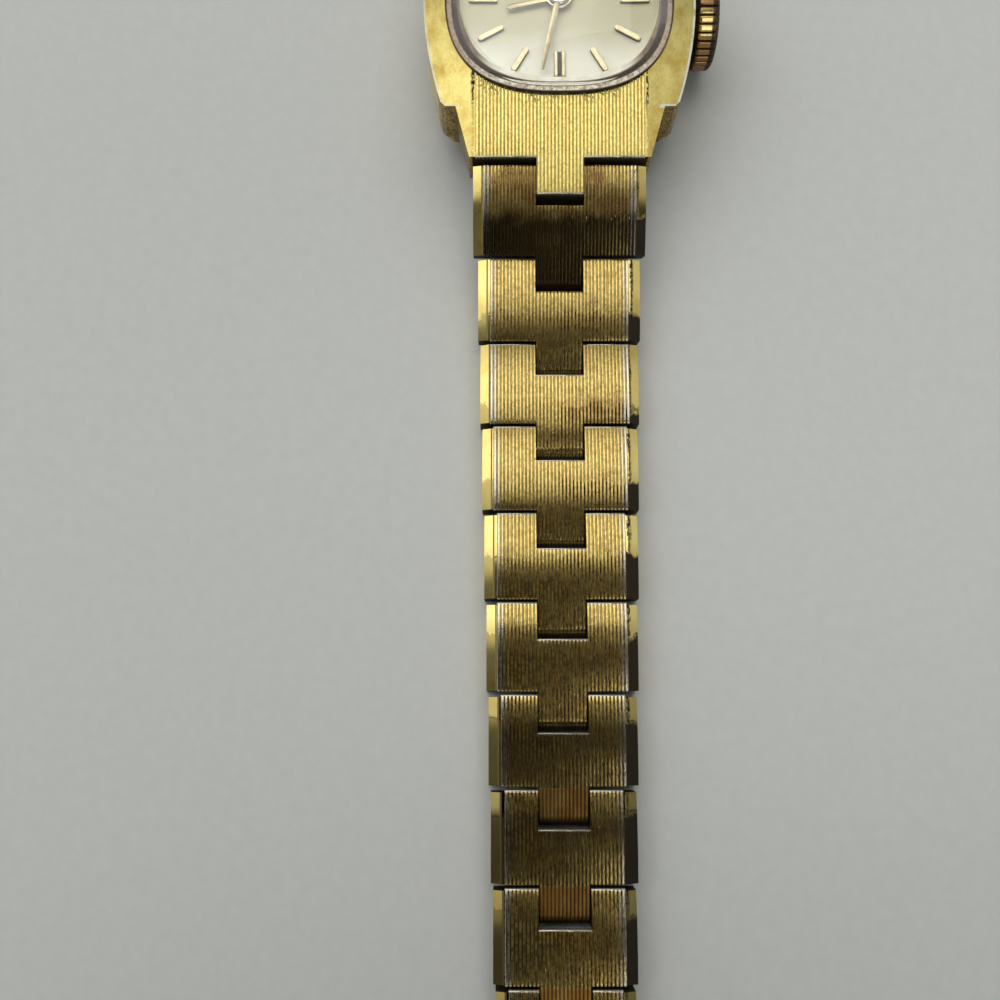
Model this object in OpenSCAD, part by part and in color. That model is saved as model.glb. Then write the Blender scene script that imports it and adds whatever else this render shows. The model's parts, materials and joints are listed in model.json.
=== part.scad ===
// A small hand-wound mechanical watch: cushion case, hooded ends, folded-link bracelet laid out flat.
// Millimetres. +Z rises out of the dial, +Y points to twelve o'clock and +X to the crown.
// The origin is the middle of the case back's flat face.

/* [Case] */
// Width of the case across the crown
case_w = 15.0; // [14.8:0.1:15.6]
// Radius of the case's curved flanks
case_side_r = 21; // [18:1:30]
// Half the length of the body, to its shoulders
shoulder_y = 6.6; // [6.5:0.1:6.8]
// Radius that rounds off the four shoulders
corner_r = 9.1; // [9.0:0.1:9.4]
// Width of a hooded end where it leaves the shoulders
hood_root_w = 11.4; // [11:0.1:11.8]
// Width of a hooded end at its tip
hood_w = 9.9; // [9.6:0.1:10.2]
// Half the length over the hooded ends
hood_y = 9.35; // [9.1:0.05:9.4]
// Height of the top of the case at the middle
case_top = 5.5; // [5.4:0.1:5.8]
// Radius of the case's lengthwise crown
case_crown_r = 50; // [40:5:80]
// Height of the lower edge of the case band
case_bottom = 1.0; // [0.9:0.05:1.1]
// Radius of the chamber for the movement
bore_r = 6.1; // [6.1:0.05:6.15]
// Radius of the case back's flat
back_flat_r = 5.2; // [4.6:0.1:5.4]
// Thickness of the case back
back_t = 0.45; // [0.4:0.05:0.5]

/* [Crystal and dial] */
// Width of the crystal
crystal_w = 12.56; // [12.3:0.02:12.6]
// Length of the crystal
crystal_l = 11.84; // [11.4:0.02:11.9]
// Squareness of the crystal's outline
crystal_n = 2.6; // [2.4:0.1:2.8]
// Width of the crystal's flat flange
crystal_flange = 0.33; // [0.25:0.01:0.4]
// Height of the crystal's top
crystal_top = 6.8; // [6.6:0.1:7.2]
// Radius of the crystal's dome
dome_r = 15; // [13:1:24]
// Thickness of the crystal at its top
crystal_t = 0.8; // [0.7:0.05:0.85]
// Width of the visible dial
dial_w = 10.8; // [10.6:0.05:10.9]
// Length of the visible dial
dial_l = 9.75; // [9.5:0.05:9.85]
// Squareness of the dial opening
dial_n = 2.35; // [2.2:0.05:2.5]
// Thickness of the dial
dial_t = 0.3; // [0.25:0.05:0.3]
// Height of the dial's underside
dial_z = 4.4; // [4.4:0.05:4.5]
// Width of an hour baton
baton_w = 0.33; // [0.25:0.01:0.4]
// Width of the double batons at the quarters
double_w = 0.6; // [0.5:0.02:0.7]
// Height of the batons
baton_h = 0.15; // [0.1:0.01:0.18]
// Length of a baton
baton_l = 1.6; // [1.4:0.05:1.65]
// Distance of a single baton's inner end from the middle
baton_in = 3.48; // [3.4:0.02:3.5]

/* [Hands] */
// Reach of the hour hand from the middle
hour_reach = 2.95; // [2.5:0.05:3.1]
// Reach of the minute hand from the middle
minute_reach = 4.6; // [4.0:0.05:4.65]
// Width of the hour hand
hour_hand_w = 0.36; // [0.3:0.02:0.42]
// Width of the minute hand near the middle
minute_hand_w = 0.28; // [0.22:0.02:0.34]
// Thickness of a hand
hand_t = 0.09; // [0.07:0.01:0.1]
// Hour that the hands show
shown_hour = 8; // [0:1:11]
// Minute that the hands show
shown_minute = 32; // [0:1:59]

/* [Crown and stem] */
// Radius of the crown
crown_r = 2.6; // [2.2:0.05:2.65]
// Length of the crown
crown_l = 1.2; // [1.0:0.05:1.4]
// Number of ridges round the crown
crown_ridges = 35; // [30:1:40]
// Gap between the case and the pushed-in crown
crown_gap = 0.25; // [0.2:0.05:0.4]
// Height of the winding stem
stem_z = 2.8; // [2.8:0.01:2.82]
// Radius of the winding stem
stem_r = 0.3; // [0.26:0.01:0.3]
// Travel of the stem to the hand-setting position
stem_pull = 0.6; // [0.5:0.05:0.6]

/* [Bracelet] */
// Distance from pin to pin of a link
pitch = 4.8; // [4.7:0.05:5.0]
// Height of a link
link_h = 1.8; // [1.7:0.05:1.9]
// Thickness of the folded sheet
sheet = 0.35; // [0.3:0.01:0.38]
// Radius of a link's lengthwise crown
link_crown_r = 14; // [13:0.5:15]
// Width of the first link
first_link_w = 9.5; // [9.2:0.1:9.7]
// Width of the second link
second_link_w = 8.95; // [8.8:0.05:9.1]
// Width of the third link
third_link_w = 8.7; // [8.5:0.05:8.8]
// Loss of width from link to link after the third
link_taper = 0.245; // [0.15:0.005:0.25]
// Width of a link's polished edge
edge_w = 0.54; // [0.4:0.02:0.6]
// Fall of the polished edge
edge_drop = 0.25; // [0.15:0.01:0.3]
// Width of a link's tongue
tongue_w = 2.55; // [2.3:0.05:2.7]
// Radius of the rolled knuckle at a tongue's end
knuckle_r = 0.66; // [0.6:0.02:0.68]
// Radius of a link pin
pin_r = 0.25; // [0.2:0.01:0.28]
// Height of a pin above the underside of its link
pin_h = 0.7; // [0.7:0.01:0.74]
// Slope of the first link down from the case
first_slope = 17; // [15:0.5:18]
// Slope of the second link
second_slope = 9.5; // [9:0.5:11]
// Links on the six o'clock side
six_links = 10; // [9:1:10]
// Links on the twelve o'clock side
twelve_links = 9; // [8:1:9]

/* [Clasp] */
// Length of the clasp's base
clasp_l = 20; // [18:0.5:22]
// Width of the clasp's base
clasp_w = 6.2; // [6:0.1:6.4]
// Length of the ladder plate
ladder_l = 14; // [13:0.5:15]
// Width of the ladder plate
ladder_w = 3.4; // [3.2:0.1:3.6]
// Thickness of the ladder plate
ladder_t = 0.22; // [0.2:0.01:0.24]
// Number of hook slots in the ladder plate
ladder_slots = 5; // [3:1:5]

/* [Movement] */
// Radius of the movement
movement_r = 5.65; // [5.65:0.01:5.7]
// Height of the movement's bridges above the case back's flat
bridge_z = 1.05; // [1.05:0.01:1.08]
// Thickness of the bridges
bridge_t = 0.3; // [0.26:0.01:0.3]
// Height of the main plate's lower face
plate_z = 2.4; // [2.4:0.01:2.42]
// Radius of a wheel's arbor
arbor_r = 0.1; // [0.08:0.01:0.12]
// Turns of the mainspring
mainspring_turns = 8; // [6:1:9]
// Turns of the hairspring
hairspring_turns = 5.5; // [4.5:0.5:6]
// Direction of the barrel from the middle, in degrees
barrel_at = 75; // [74:0.5:76]

/* [Hidden] */
SIX_NODES = [for (i = [1:six_links]) str("six_link_", i)];
TWELVE_NODES = [for (i = [1:twelve_links]) str("twelve_link_", i)];
CASE_NODES = ["case", "case_back", "movement_ring", "crystal", "dial", "hour_markers", "hour_hand",
    "minute_hand", "crown", "crown_tube", "winding_stem"];
WINDING_NODES = ["winding_pinion", "sliding_pinion", "crown_wheel", "ratchet_wheel", "barrel_arbor",
    "click", "barrel", "mainspring"];
PLATE_NODES = ["mainplate", "barrel_bridge", "train_bridge", "balance_cock", "pallet_bridge",
    "movement_screws", "jewels"];
TRAIN_NODES = ["center_wheel", "third_wheel", "fourth_wheel", "escape_wheel", "pallet_fork",
    "balance_wheel", "hairspring", "cannon_pinion", "minute_wheel", "hour_wheel"];
CLASP_NODES = ["ladder_end", "clasp_base", "clasp_cover"];

// Facets on a full circle
round_fn = 64;
big_fn = 200;
// Clearances: faces that meet, fitted pins, running pins and running wheels
fit = 0.01;
running = 0.03;
air = 0.05;
// A cutter's reach past the face that it cuts
over = 0.5;

// Metals and finishes
gold = [0.80, 0.65, 0.30];
steel = [0.75, 0.76, 0.78];
brass = [0.82, 0.68, 0.38];
ruby = [0.75, 0.10, 0.25];

// Links
notch_w = tongue_w + 0.12;
wing_north = 1.0;
first_eave = 0.35;
wing_gap = 0.33;
wing_south = wing_north + wing_gap - pitch;
notch_south = -(knuckle_r + 0.19);
wing_mid = (wing_north + wing_south) / 2;
link_top = link_h - pin_h;
ear_t = sheet;

// Case ends, and the pins of the bracelet from the case outward
case_pin_y = hood_y + 1.3;
case_pin_z = pin_h + pitch * (sin(first_slope) + sin(second_slope));
function slope(i) = i == 1 ? first_slope : i == 2 ? second_slope : 0;
function pin_at(i) = i == 1 ? [0, -case_pin_y, case_pin_z]
    : pin_at(i - 1) + pitch * [0, -cos(slope(i - 1)), -sin(slope(i - 1))];
function link_w(i) = i == 1 ? first_link_w
    : i == 2 ? second_link_w
    : third_link_w - link_taper * (i - 3);

// Case and crystal heights
ledge_z = dial_z + dial_t;
ledge_t = 0.3;
seat_z = ledge_z + ledge_t;
back_lip_h = 0.45;
band_z = case_bottom + 0.8;
band_step = 0.35;
hood_low = case_bottom + 1.2;
crown_x = case_w / 2 + crown_gap;
tube_r = stem_r + 0.25;

// Hands and motion work, stacked on the dial
pipe_r = 0.35;
hour_pipe_in = pipe_r + running;
hour_pipe_r = hour_pipe_in + 0.17;
hour_hand_z = ledge_z + 0.23;
minute_hand_z = hour_hand_z + hand_t + 0.09;
minute_angle = 6 * shown_minute;
hour_angle = 30 * (shown_hour + shown_minute / 60);
center_arbor_r = 0.2;
recess_z = dial_z - 0.7;
recess_r = 3.15;

// The train: teeth and modules, with the places of the wheels that follow from them
center_teeth = 60;
center_leaves = 11;
barrel_teeth = 66;
barrel_module = 0.074;
third_teeth = 56;
third_leaves = 8;
center_module = 0.07;
fourth_teeth = 70;
fourth_leaves = 7;
third_module = 0.06;
escape_teeth = 15;
escape_leaves = 7;
fourth_module = 0.045;
winding_module = 0.1;
ratchet_teeth = 49;
crown_wheel_teeth = 26;
winding_leaves = 17;
motion_module = 0.08;
cannon_leaves = 10;
minute_teeth = 30;
minute_leaves = 8;
hour_teeth = 32;
third_from = -70;
fourth_from = 195;
line_of_escape = 118.5;
escape_from = 150;
minute_from = 200;
function mesh(module_size, a, b) = module_size * (a + b) / 2;
function polar(r, a) = [r * cos(a), r * sin(a)];
barrel_p = polar(mesh(barrel_module, barrel_teeth, center_leaves), barrel_at);
third_p = polar(mesh(center_module, center_teeth, third_leaves), third_from);
fourth_p = third_p + polar(mesh(third_module, third_teeth, fourth_leaves), fourth_from);
escape_p = fourth_p + polar(mesh(fourth_module, fourth_teeth, escape_leaves), escape_from);
pallet_p = escape_p + polar(1.28, line_of_escape);
balance_p = pallet_p + polar(1.445, line_of_escape);
minute_p = polar(mesh(motion_module, cannon_leaves, minute_teeth), minute_from);
ratchet_reach = mesh(winding_module, ratchet_teeth, crown_wheel_teeth);
crown_wheel_p = [barrel_p[0] + sqrt(pow(ratchet_reach, 2) - pow(barrel_p[1], 2)), 0];
crown_wheel_from = atan2(crown_wheel_p[1] - barrel_p[1], crown_wheel_p[0] - barrel_p[0]);
click_p = barrel_p + polar(3.05, 200);

// Levels of the train, counted from the bridges toward the dial
bridge_top = bridge_z + bridge_t;
wheel_t = 0.12;
center_z = bridge_top + 0.07;
third_pinion_z = bridge_top + 0.02;
third_z = plate_z - 0.2;
fourth_z = bridge_top + 0.35;
escape_z = bridge_top + 0.6;
fork_z = bridge_top + 0.57;
balance_z = bridge_top + 0.05;
barrel_low = bridge_top + 0.27;
barrel_high = plate_z - 0.05;
ratchet_z = bridge_z - 0.23;
hairspring_z = bridge_z + 0.15;
cock_z = bridge_z - 0.2;
pallet_bridge_z = bridge_top + 0.3;
balance_r = 1.55;
barrel_r = 2.3;
skirt_r = 1.02;
skirt_in = 0.85;
pinion_x = 4.08;
pinion_end = 4.5;
winding_r = 0.7;
post_r = 0.14;
square_w = 0.345;
slide_l = 0.3;
slide_x = pinion_x - 0.05 - slide_l;
slide_travel = 0.25;

// A closed outline between an ellipse and a rectangle
function cushion(w, l, n) = [for (i = [0:71])
    let (c = cos(5 * i), s = sin(5 * i))
    [w / 2 * sign(c) * pow(abs(c), 2 / n), l / 2 * sign(s) * pow(abs(s), 2 / n)]];

// A toothed outline: the tooth's flanks narrow to its tip, and tooth 0 points along phase
module toothed(teeth, size, phase = 0, tip = 0.9) {
    step = 360 / teeth;
    root_r = size * (teeth / 2 - 1.1);
    pitch_r = size * teeth / 2;
    tip_r = size * (teeth / 2 + tip);
    polygon([for (i = [0:teeth - 1], p = [[-0.29, root_r], [-0.22, pitch_r], [-0.08, tip_r],
            [0.08, tip_r], [0.22, pitch_r], [0.29, root_r]])
        polar(p[1], phase + step * (i + p[0]))]);
}

// A wheel's rim, crossings and hub in one plane
module crossed_wheel(teeth, size, phase, spokes, hub_r) {
    inner_r = size * (teeth / 2 - 1.1) - 0.2;
    difference() {
        toothed(teeth, size, phase);
        circle(r = inner_r, $fn = round_fn);
    }
    for (i = [0:spokes - 1])
        rotate(360 * i / spokes)
            translate([0, -0.09])
                square([inner_r + 0.05, 0.18]);
    circle(r = hub_r, $fn = round_fn);
}

// A ring sector, for the feet of the bridges
module sector(r_in, r_out, from, to) {
    intersection() {
        difference() {
            circle(r = r_out, $fn = big_fn);
            circle(r = r_in, $fn = big_fn);
        }
        polygon([[0, 0], polar(2 * r_out, from), polar(2 * r_out, (from + to) / 2), polar(2 * r_out, to)]);
    }
}

// A shaft from one height to another
module shaft(p, r, low, high) {
    translate([p[0], p[1], low])
        cylinder(r = r, h = high - low, $fn = round_fn);
}

// A flat slice of an outline between two heights
module slab(low, high) {
    translate([0, 0, low])
        linear_extrude(high - low)
            children();
}

// A bar along X
module bar_x(r, from, to, fn = round_fn) {
    translate([from, 0, 0])
        rotate([0, 90, 0])
            cylinder(r = r, h = to - from, $fn = fn);
}

// Case

module body_outline(inset = 0) {
    intersection() {
        translate([case_side_r - case_w / 2, 0])
            circle(r = case_side_r - inset, $fn = big_fn);
        translate([case_w / 2 - case_side_r, 0])
            circle(r = case_side_r - inset, $fn = big_fn);
        circle(r = corner_r - inset, $fn = big_fn);
        square([2 * case_w, 2 * (shoulder_y - inset * 0.4)], center = true);
    }
}

module hood_outline() {
    polygon([[-hood_root_w / 2, shoulder_y - 1], [hood_root_w / 2, shoulder_y - 1],
        [hood_root_w / 2, shoulder_y], [hood_w / 2, hood_y], [-hood_w / 2, hood_y],
        [-hood_root_w / 2, shoulder_y]]);
}

// The underside of the tongue that carries the first link's pin
module case_tongue() {
    translate([0, -case_pin_y, case_pin_z]) {
        rotate([90, 0, 90])
            translate([0, 0, -tongue_w / 2])
                linear_extrude(tongue_w)
                    polygon([[0.1, knuckle_r * 0.98], [-0.1, -knuckle_r * 0.98], [1.0, -0.35],
                        [3.0, -0.35], [3.0, 1.6], [1.2, 1.6]]);
        bar_x(knuckle_r, -tongue_w / 2, tongue_w / 2);
    }
}

// Both tongues' tops, which carry the case's crown on to the pins
module tongue_tops() {
    reach = case_pin_y + knuckle_r - 0.02;
    translate([-tongue_w / 2, -reach, case_pin_z])
        cube([tongue_w, 2 * reach, case_top]);
}

module case_pocket() {
    slab(0, case_top - 1.45)
        translate([-hood_w / 2 + 0.6, shoulder_y + 0.35])
            square([hood_w - 1.2, hood_y - shoulder_y - 0.8]);
}

module case() {
    color(gold) {
        difference() {
            union() {
                slab(case_bottom, band_z + fit)
                    body_outline(band_step);
                intersection() {
                    union() {
                        slab(band_z, case_top + 1)
                            body_outline();
                        slab(hood_low, case_top + 1) {
                            hood_outline();
                            mirror([0, 1]) hood_outline();
                        }
                        tongue_tops();
                    }
                    translate([0, 0, case_top - case_crown_r])
                        bar_x(case_crown_r, -case_w, case_w, big_fn);
                }
                case_tongue();
                rotate(180) case_tongue();
            }
            shaft([0, 0], bore_r, 0, ledge_z);
            slab(0, case_top + over)
                polygon(cushion(dial_w, dial_l, dial_n));
            slab(seat_z, case_top + over)
                polygon(cushion(crystal_w + 2 * fit, crystal_l + 2 * fit, crystal_n));
            translate([0, 0, stem_z])
                bar_x(tube_r + fit, bore_r - over, case_w);
            case_pocket();
            rotate(180) case_pocket();
            for (y = [-case_pin_y, case_pin_y])
                translate([0, y, case_pin_z])
                    bar_x(pin_r + running, -tongue_w, tongue_w);
        }
    }
}

module case_back() {
    lip_r = bore_r - fit;
    rim_r = bore_r + 0.45;
    rim_z = case_bottom - 0.3;
    floor_r = lip_r - 0.45;
    color(steel)
        rotate_extrude($fn = big_fn)
            polygon([[0, 0], [back_flat_r, 0], [rim_r, rim_z], [rim_r, case_bottom - fit],
                [lip_r, case_bottom - fit], [lip_r, case_bottom + back_lip_h],
                [floor_r, case_bottom + back_lip_h], [floor_r, back_t + 0.2],
                [floor_r - 0.5, back_t], [0, back_t]]);
}

module movement_ring() {
    color(steel)
        difference() {
            shaft([0, 0], bore_r - air, case_bottom + back_lip_h + fit, dial_z - fit);
            shaft([0, 0], movement_r + 0.02, 0, dial_z);
            translate([0, 0, stem_z])
                bar_x(tube_r + air, 3, case_w);
        }
}

module crystal() {
    wall = 0.55;
    body_w = crystal_w - 2 * crystal_flange;
    body_l = crystal_l - 2 * crystal_flange;
    color([0.85, 0.9, 0.92, 0.35])
        difference() {
            union() {
                slab(seat_z + fit, seat_z + 0.4)
                    polygon(cushion(crystal_w, crystal_l, crystal_n));
                intersection() {
                    slab(seat_z + fit, crystal_top + 1)
                        polygon(cushion(body_w, body_l, crystal_n));
                    translate([0, 0, crystal_top - dome_r])
                        sphere(r = dome_r, $fn = big_fn);
                }
            }
            intersection() {
                slab(0, crystal_top)
                    polygon(cushion(body_w - 2 * wall, body_l - 2 * wall, crystal_n));
                translate([0, 0, crystal_top - crystal_t - dome_r])
                    sphere(r = dome_r, $fn = big_fn);
            }
        }
}

// Dial and hands

module dial() {
    color([0.86, 0.86, 0.80]) {
        difference() {
            slab(dial_z, ledge_z - fit)
                polygon(cushion(dial_w + 0.8, dial_l + 0.8, crystal_n));
            shaft([0, 0], hour_pipe_r + 0.07, 0, case_top);
        }
        for (a = [125, -55])
            shaft(polar(4.6, a), 0.28, dial_z - 1, dial_z + 0.1);
    }
}

// A bevelled baton; the quarter marks are double, with a channel along the middle
module baton(w, channel) {
    rotate([90, 0, 90])
        linear_extrude(baton_l)
            polygon(channel
                ? [[-w / 2, 0], [w / 2, 0], [w / 2, baton_h * 0.6], [w / 2 - 0.06, baton_h],
                    [w / 6, baton_h], [w / 6, baton_h / 2], [-w / 6, baton_h / 2], [-w / 6, baton_h],
                    [0.06 - w / 2, baton_h], [-w / 2, baton_h * 0.6]]
                : [[-w / 2, 0], [w / 2, 0], [w / 2, baton_h * 0.6], [w / 2 - 0.08, baton_h],
                    [0.08 - w / 2, baton_h], [-w / 2, baton_h * 0.6]]);
}

// The double batons start further in: those at three and nine a little, those at twelve and six more
function baton_from(h) = baton_in - (h % 6 == 3 ? 0.31 : h % 6 == 0 ? 0.15 : 0);

module hour_markers() {
    color(gold)
        for (h = [0:11])
            rotate(30 * h)
                translate([baton_from(h), 0, ledge_z])
                    baton(h % 3 == 0 ? double_w : baton_w, h % 3 == 0);
}

// A hand lying along +Y, with a faceted back and a pierced boss
module hand(reach, tail, root_w, tip_w, boss_r, pipe) {
    difference() {
        union() {
            linear_extrude(hand_t)
                polygon([[-root_w / 2, -tail], [root_w / 2, -tail], [root_w / 2, reach * 0.25],
                    [tip_w / 2, reach - tip_w / 2], [0, reach], [-tip_w / 2, reach - tip_w / 2],
                    [-root_w / 2, reach * 0.25]]);
            cylinder(r = boss_r, h = hand_t, $fn = round_fn);
        }
        translate([0, 0, -over])
            cylinder(r = pipe, h = 1 + hand_t, $fn = round_fn);
    }
}

module hour_hand() {
    color(gold)
        translate([0, 0, hour_hand_z])
            rotate(-hour_angle)
                hand(hour_reach, 0.9, hour_hand_w, hour_hand_w * 0.8, hour_pipe_r + 0.2, hour_pipe_r);
}

module minute_hand() {
    color(gold)
        translate([0, 0, minute_hand_z])
            rotate(-minute_angle)
                hand(minute_reach, 0.8, minute_hand_w, minute_hand_w * 0.7, pipe_r + 0.28, pipe_r);
}

// Crown and keyless works

module crown() {
    dome = 0.18;
    bore = stem_r + fit;
    color(gold)
        translate([crown_x, 0, stem_z])
            rotate([90, 0, 90])
                difference() {
                    intersection() {
                        linear_extrude(crown_l + dome)
                            polygon([for (i = [0:crown_ridges - 1], p = [[0, 0.1], [0.28, 0], [0.72, 0]])
                                polar(crown_r - p[1], 360 * (i + p[0]) / crown_ridges)]);
                        rotate_extrude($fn = big_fn)
                            polygon([[0, 0], [crown_r - 0.15, 0], [crown_r, 0.15], [crown_r, crown_l - 0.2],
                                [crown_r - 0.3, crown_l], [crown_r * 0.5, crown_l + dome * 0.8],
                                [0, crown_l + dome]]);
                    }
                    translate([0, 0, -over])
                        cylinder(r = bore, h = crown_l * 0.6 + over, $fn = round_fn);
                    translate([0, 0, -over])
                        cylinder(r = tube_r + 0.15, h = over + 0.35, $fn = round_fn);
                }
}

module crown_tube() {
    color(brass)
        translate([0, 0, stem_z])
            difference() {
                bar_x(tube_r, bore_r + 0.1, crown_x + 0.2);
                bar_x(stem_r + air, 0, case_w);
            }
}

// The stem: pilot, square for the sliding pinion, bearing, groove and thread
module winding_stem() {
    square_x = slide_x - slide_travel - stem_pull;
    color(steel)
        translate([0, 0, stem_z]) {
            bar_x(square_w * 0.42, square_x - 0.5, square_x + 0.1);
            translate([square_x, -square_w / 2, -square_w / 2])
                cube([pinion_x + fit - square_x, square_w, square_w]);
            bar_x(stem_r, pinion_x, pinion_end + 0.6);
            bar_x(stem_r * 0.6, pinion_end + 0.5, pinion_end + 0.8);
            bar_x(stem_r, pinion_end + 0.75, crown_x + crown_l * 0.55);
        }
}

module winding_pinion() {
    color(steel)
        translate([pinion_x + 0.02, 0, stem_z])
            rotate([90, 0, 90])
                difference() {
                    linear_extrude(pinion_end - pinion_x - 0.02)
                        toothed(winding_leaves, 2 * winding_r / (winding_leaves + 1.8), 90 + 180 / winding_leaves);
                    translate([0, 0, -over])
                        cylinder(r = stem_r + running, h = 2, $fn = round_fn);
                }
}

// Toothed on the inner face for hand setting, grooved for its lever, and square bored
module sliding_pinion() {
    slide_r = winding_r - 0.1;
    square_bore = square_w + 2 * running;
    color(steel)
        translate([slide_x, 0, stem_z])
            rotate([90, 0, 90])
                difference() {
                    union() {
                        linear_extrude(slide_l * 0.4)
                            toothed(12, slide_r / 7);
                        cylinder(r = slide_r * 0.66, h = slide_l, $fn = round_fn);
                        translate([0, 0, slide_l * 0.7])
                            cylinder(r = slide_r, h = slide_l * 0.3, $fn = round_fn);
                    }
                    translate([-square_bore / 2, -square_bore / 2, -over])
                        cube([square_bore, square_bore, 2]);
                }
}

module crown_wheel() {
    tooth = 360 / crown_wheel_teeth;
    color(steel)
        difference() {
            union() {
                translate([crown_wheel_p[0], crown_wheel_p[1], 0])
                    slab(ratchet_z, ratchet_z + 0.2)
                        toothed(crown_wheel_teeth, winding_module, crown_wheel_from + 180 + tooth / 2);
                shaft(crown_wheel_p, skirt_r, ratchet_z + 0.1, stem_z - winding_r + 0.08);
            }
            shaft(crown_wheel_p, skirt_in, ratchet_z + 0.2, plate_z);
            shaft(crown_wheel_p, post_r + running, 0, plate_z);
            for (i = [0:crown_wheel_teeth - 1])
                translate([crown_wheel_p[0], crown_wheel_p[1], stem_z - winding_r - 0.1])
                    rotate(tooth * (i + 0.5))
                        translate([0.6, -0.075, 0])
                            cube([0.8, 0.15, 0.5]);
        }
}

module ratchet_wheel() {
    color(steel)
        translate([barrel_p[0], barrel_p[1], 0])
            difference() {
                slab(ratchet_z, ratchet_z + 0.2)
                    toothed(ratchet_teeth, winding_module, crown_wheel_from);
                translate([-0.29, -0.29, 0])
                    cube([0.58, 0.58, plate_z]);
            }
}

module barrel_arbor() {
    color(steel) {
        translate([barrel_p[0] - 0.28, barrel_p[1] - 0.28, ratchet_z])
            cube([0.56, 0.56, 0.22]);
        shaft(barrel_p, 0.4, ratchet_z + 0.21, plate_z + 0.7);
        shaft(barrel_p, 0.7, barrel_low + 0.18, barrel_high - 0.18);
    }
}

module click() {
    color(steel)
        translate([click_p[0], click_p[1], ratchet_z])
            difference() {
                union() {
                    cylinder(r = 0.32, h = 0.2, $fn = round_fn);
                    linear_extrude(0.2)
                        polygon([[0.05, -0.3], [0.75, -0.62], [0.62, -0.5], [0.25, 0.2]]);
                }
                translate([0, 0, -over])
                    cylinder(r = 0.15 + running, h = 1, $fn = round_fn);
            }
}

// A flat spiral band, as an outline
module spiral(r_in, r_out, turns, band) {
    steps = ceil(turns * 20);
    function at(i, side) = polar(r_in + (r_out - r_in) * i / steps + side * band / 2, 360 * turns * i / steps);
    polygon(concat([for (i = [0:steps]) at(i, 1)], [for (i = [steps:-1:0]) at(i, -1)]));
}

module barrel() {
    color(brass)
        translate([barrel_p[0], barrel_p[1], 0])
            difference() {
                union() {
                    translate([0, 0, barrel_low])
                        cylinder(r = barrel_r, h = barrel_high - barrel_low, $fn = big_fn);
                    slab(barrel_high - 0.35, barrel_high)
                        toothed(barrel_teeth, barrel_module, barrel_at + 180);
                }
                translate([0, 0, barrel_low + 0.12])
                    cylinder(r = barrel_r - 0.12, h = barrel_high - barrel_low - 0.24, $fn = big_fn);
                translate([0, 0, barrel_low - over])
                    cylinder(r = 0.4 + running, h = 3, $fn = round_fn);
            }
}

module mainspring() {
    color(steel)
        translate([barrel_p[0], barrel_p[1], 0])
            slab(barrel_low + 0.15, barrel_high - 0.15)
                spiral(0.76, barrel_r - 0.18, mainspring_turns, 0.08);
}

// Plates, bridges, screws and jewels

module mainplate() {
    pocket_x = crown_wheel_p[0] + post_r + 0.02;
    color(brass) {
        shaft(minute_p, 0.15, recess_z - fit, recess_z + 0.5);
        difference() {
            union() {
                shaft([0, 0], movement_r, plate_z, dial_z - fit);
                shaft(crown_wheel_p, post_r, ratchet_z, plate_z + fit);
            }
            shaft([0, 0], recess_r, recess_z, dial_z + over);
            shaft([0, 0], center_arbor_r + running, 0, dial_z);
            shaft(barrel_p, 0.4 + running, 0, plate_z + 0.75);
            for (p = [third_p, fourth_p, escape_p, pallet_p, balance_p])
                shaft(p, 0.3 + fit, plate_z - over, plate_z + 0.2);
            for (p = [third_p, fourth_p, escape_p, pallet_p, balance_p])
                shaft(p, arbor_r + air, plate_z - over, plate_z + 0.6);
            translate([pocket_x, -0.82, plate_z - over])
                cube([pinion_end + 0.05 - pocket_x, 1.64, recess_z - plate_z + over + fit]);
            translate([0, 0, stem_z]) {
                bar_x(stem_r + running, pinion_end, movement_r + over);
                bar_x(square_w / sqrt(2) + running, pocket_x - 1.3, pocket_x + fit);
            }
            for (a = [125, -55])
                shaft(polar(4.6, a), 0.28 + fit, dial_z - 1.05, dial_z + over);
            for (s = screw_places)
                shaft(s, 0.18 + fit, plate_z - over, plate_z + 0.57);
        }
    }
}

screw_places = [polar(5.05, 32), polar(5.05, 112.5), polar(5.05, 305), polar(5.05, 242.5), polar(5.05, 144)];
foot_in = 4.6;
foot_out = 5.5;

module bridge_hole(p, r) {
    shaft(p, r, bridge_z - over, plate_z);
}

module barrel_bridge() {
    color(steel)
        difference() {
            union() {
                slab(bridge_z, bridge_top)
                    difference() {
                        intersection() {
                            circle(r = foot_out, $fn = big_fn);
                            translate([-2.62, -0.75])
                                square([9, 7]);
                        }
                        translate(balance_p) circle(r = balance_r + 0.25, $fn = round_fn);
                        translate(crown_wheel_p) circle(r = skirt_r + 0.08, $fn = round_fn);
                    }
                slab(bridge_z, plate_z) sector(foot_in, foot_out, 22, 42);
                slab(bridge_z, plate_z) sector(foot_in, foot_out, 107, 118);
                shaft(click_p, 0.15, ratchet_z - 0.05, bridge_top);
            }
            bridge_hole(barrel_p, 0.4 + running);
            bridge_hole([0, 0], center_arbor_r + running);
            for (i = [0, 1])
                bridge_hole(screw_places[i], 0.18 + fit);
        }
}

module train_bridge() {
    color(steel)
        difference() {
            union() {
                slab(bridge_z, bridge_top)
                    difference() {
                        intersection() {
                            circle(r = foot_out, $fn = big_fn);
                            translate([-6, -6.85])
                                square([12, 6]);
                        }
                        translate(balance_p) circle(r = balance_r + 0.15, $fn = round_fn);
                        translate(crown_wheel_p) circle(r = skirt_r + 0.5, $fn = round_fn);
                    }
                slab(bridge_z, plate_z) sector(foot_in, foot_out, 290, 320);
                slab(bridge_z, plate_z) sector(foot_in, foot_out, 235, 250);
            }
            for (p = [third_p, fourth_p, escape_p])
                bridge_hole(p, 0.3 + fit);
            for (i = [2, 3])
                bridge_hole(screw_places[i], 0.18 + fit);
        }
}

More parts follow.
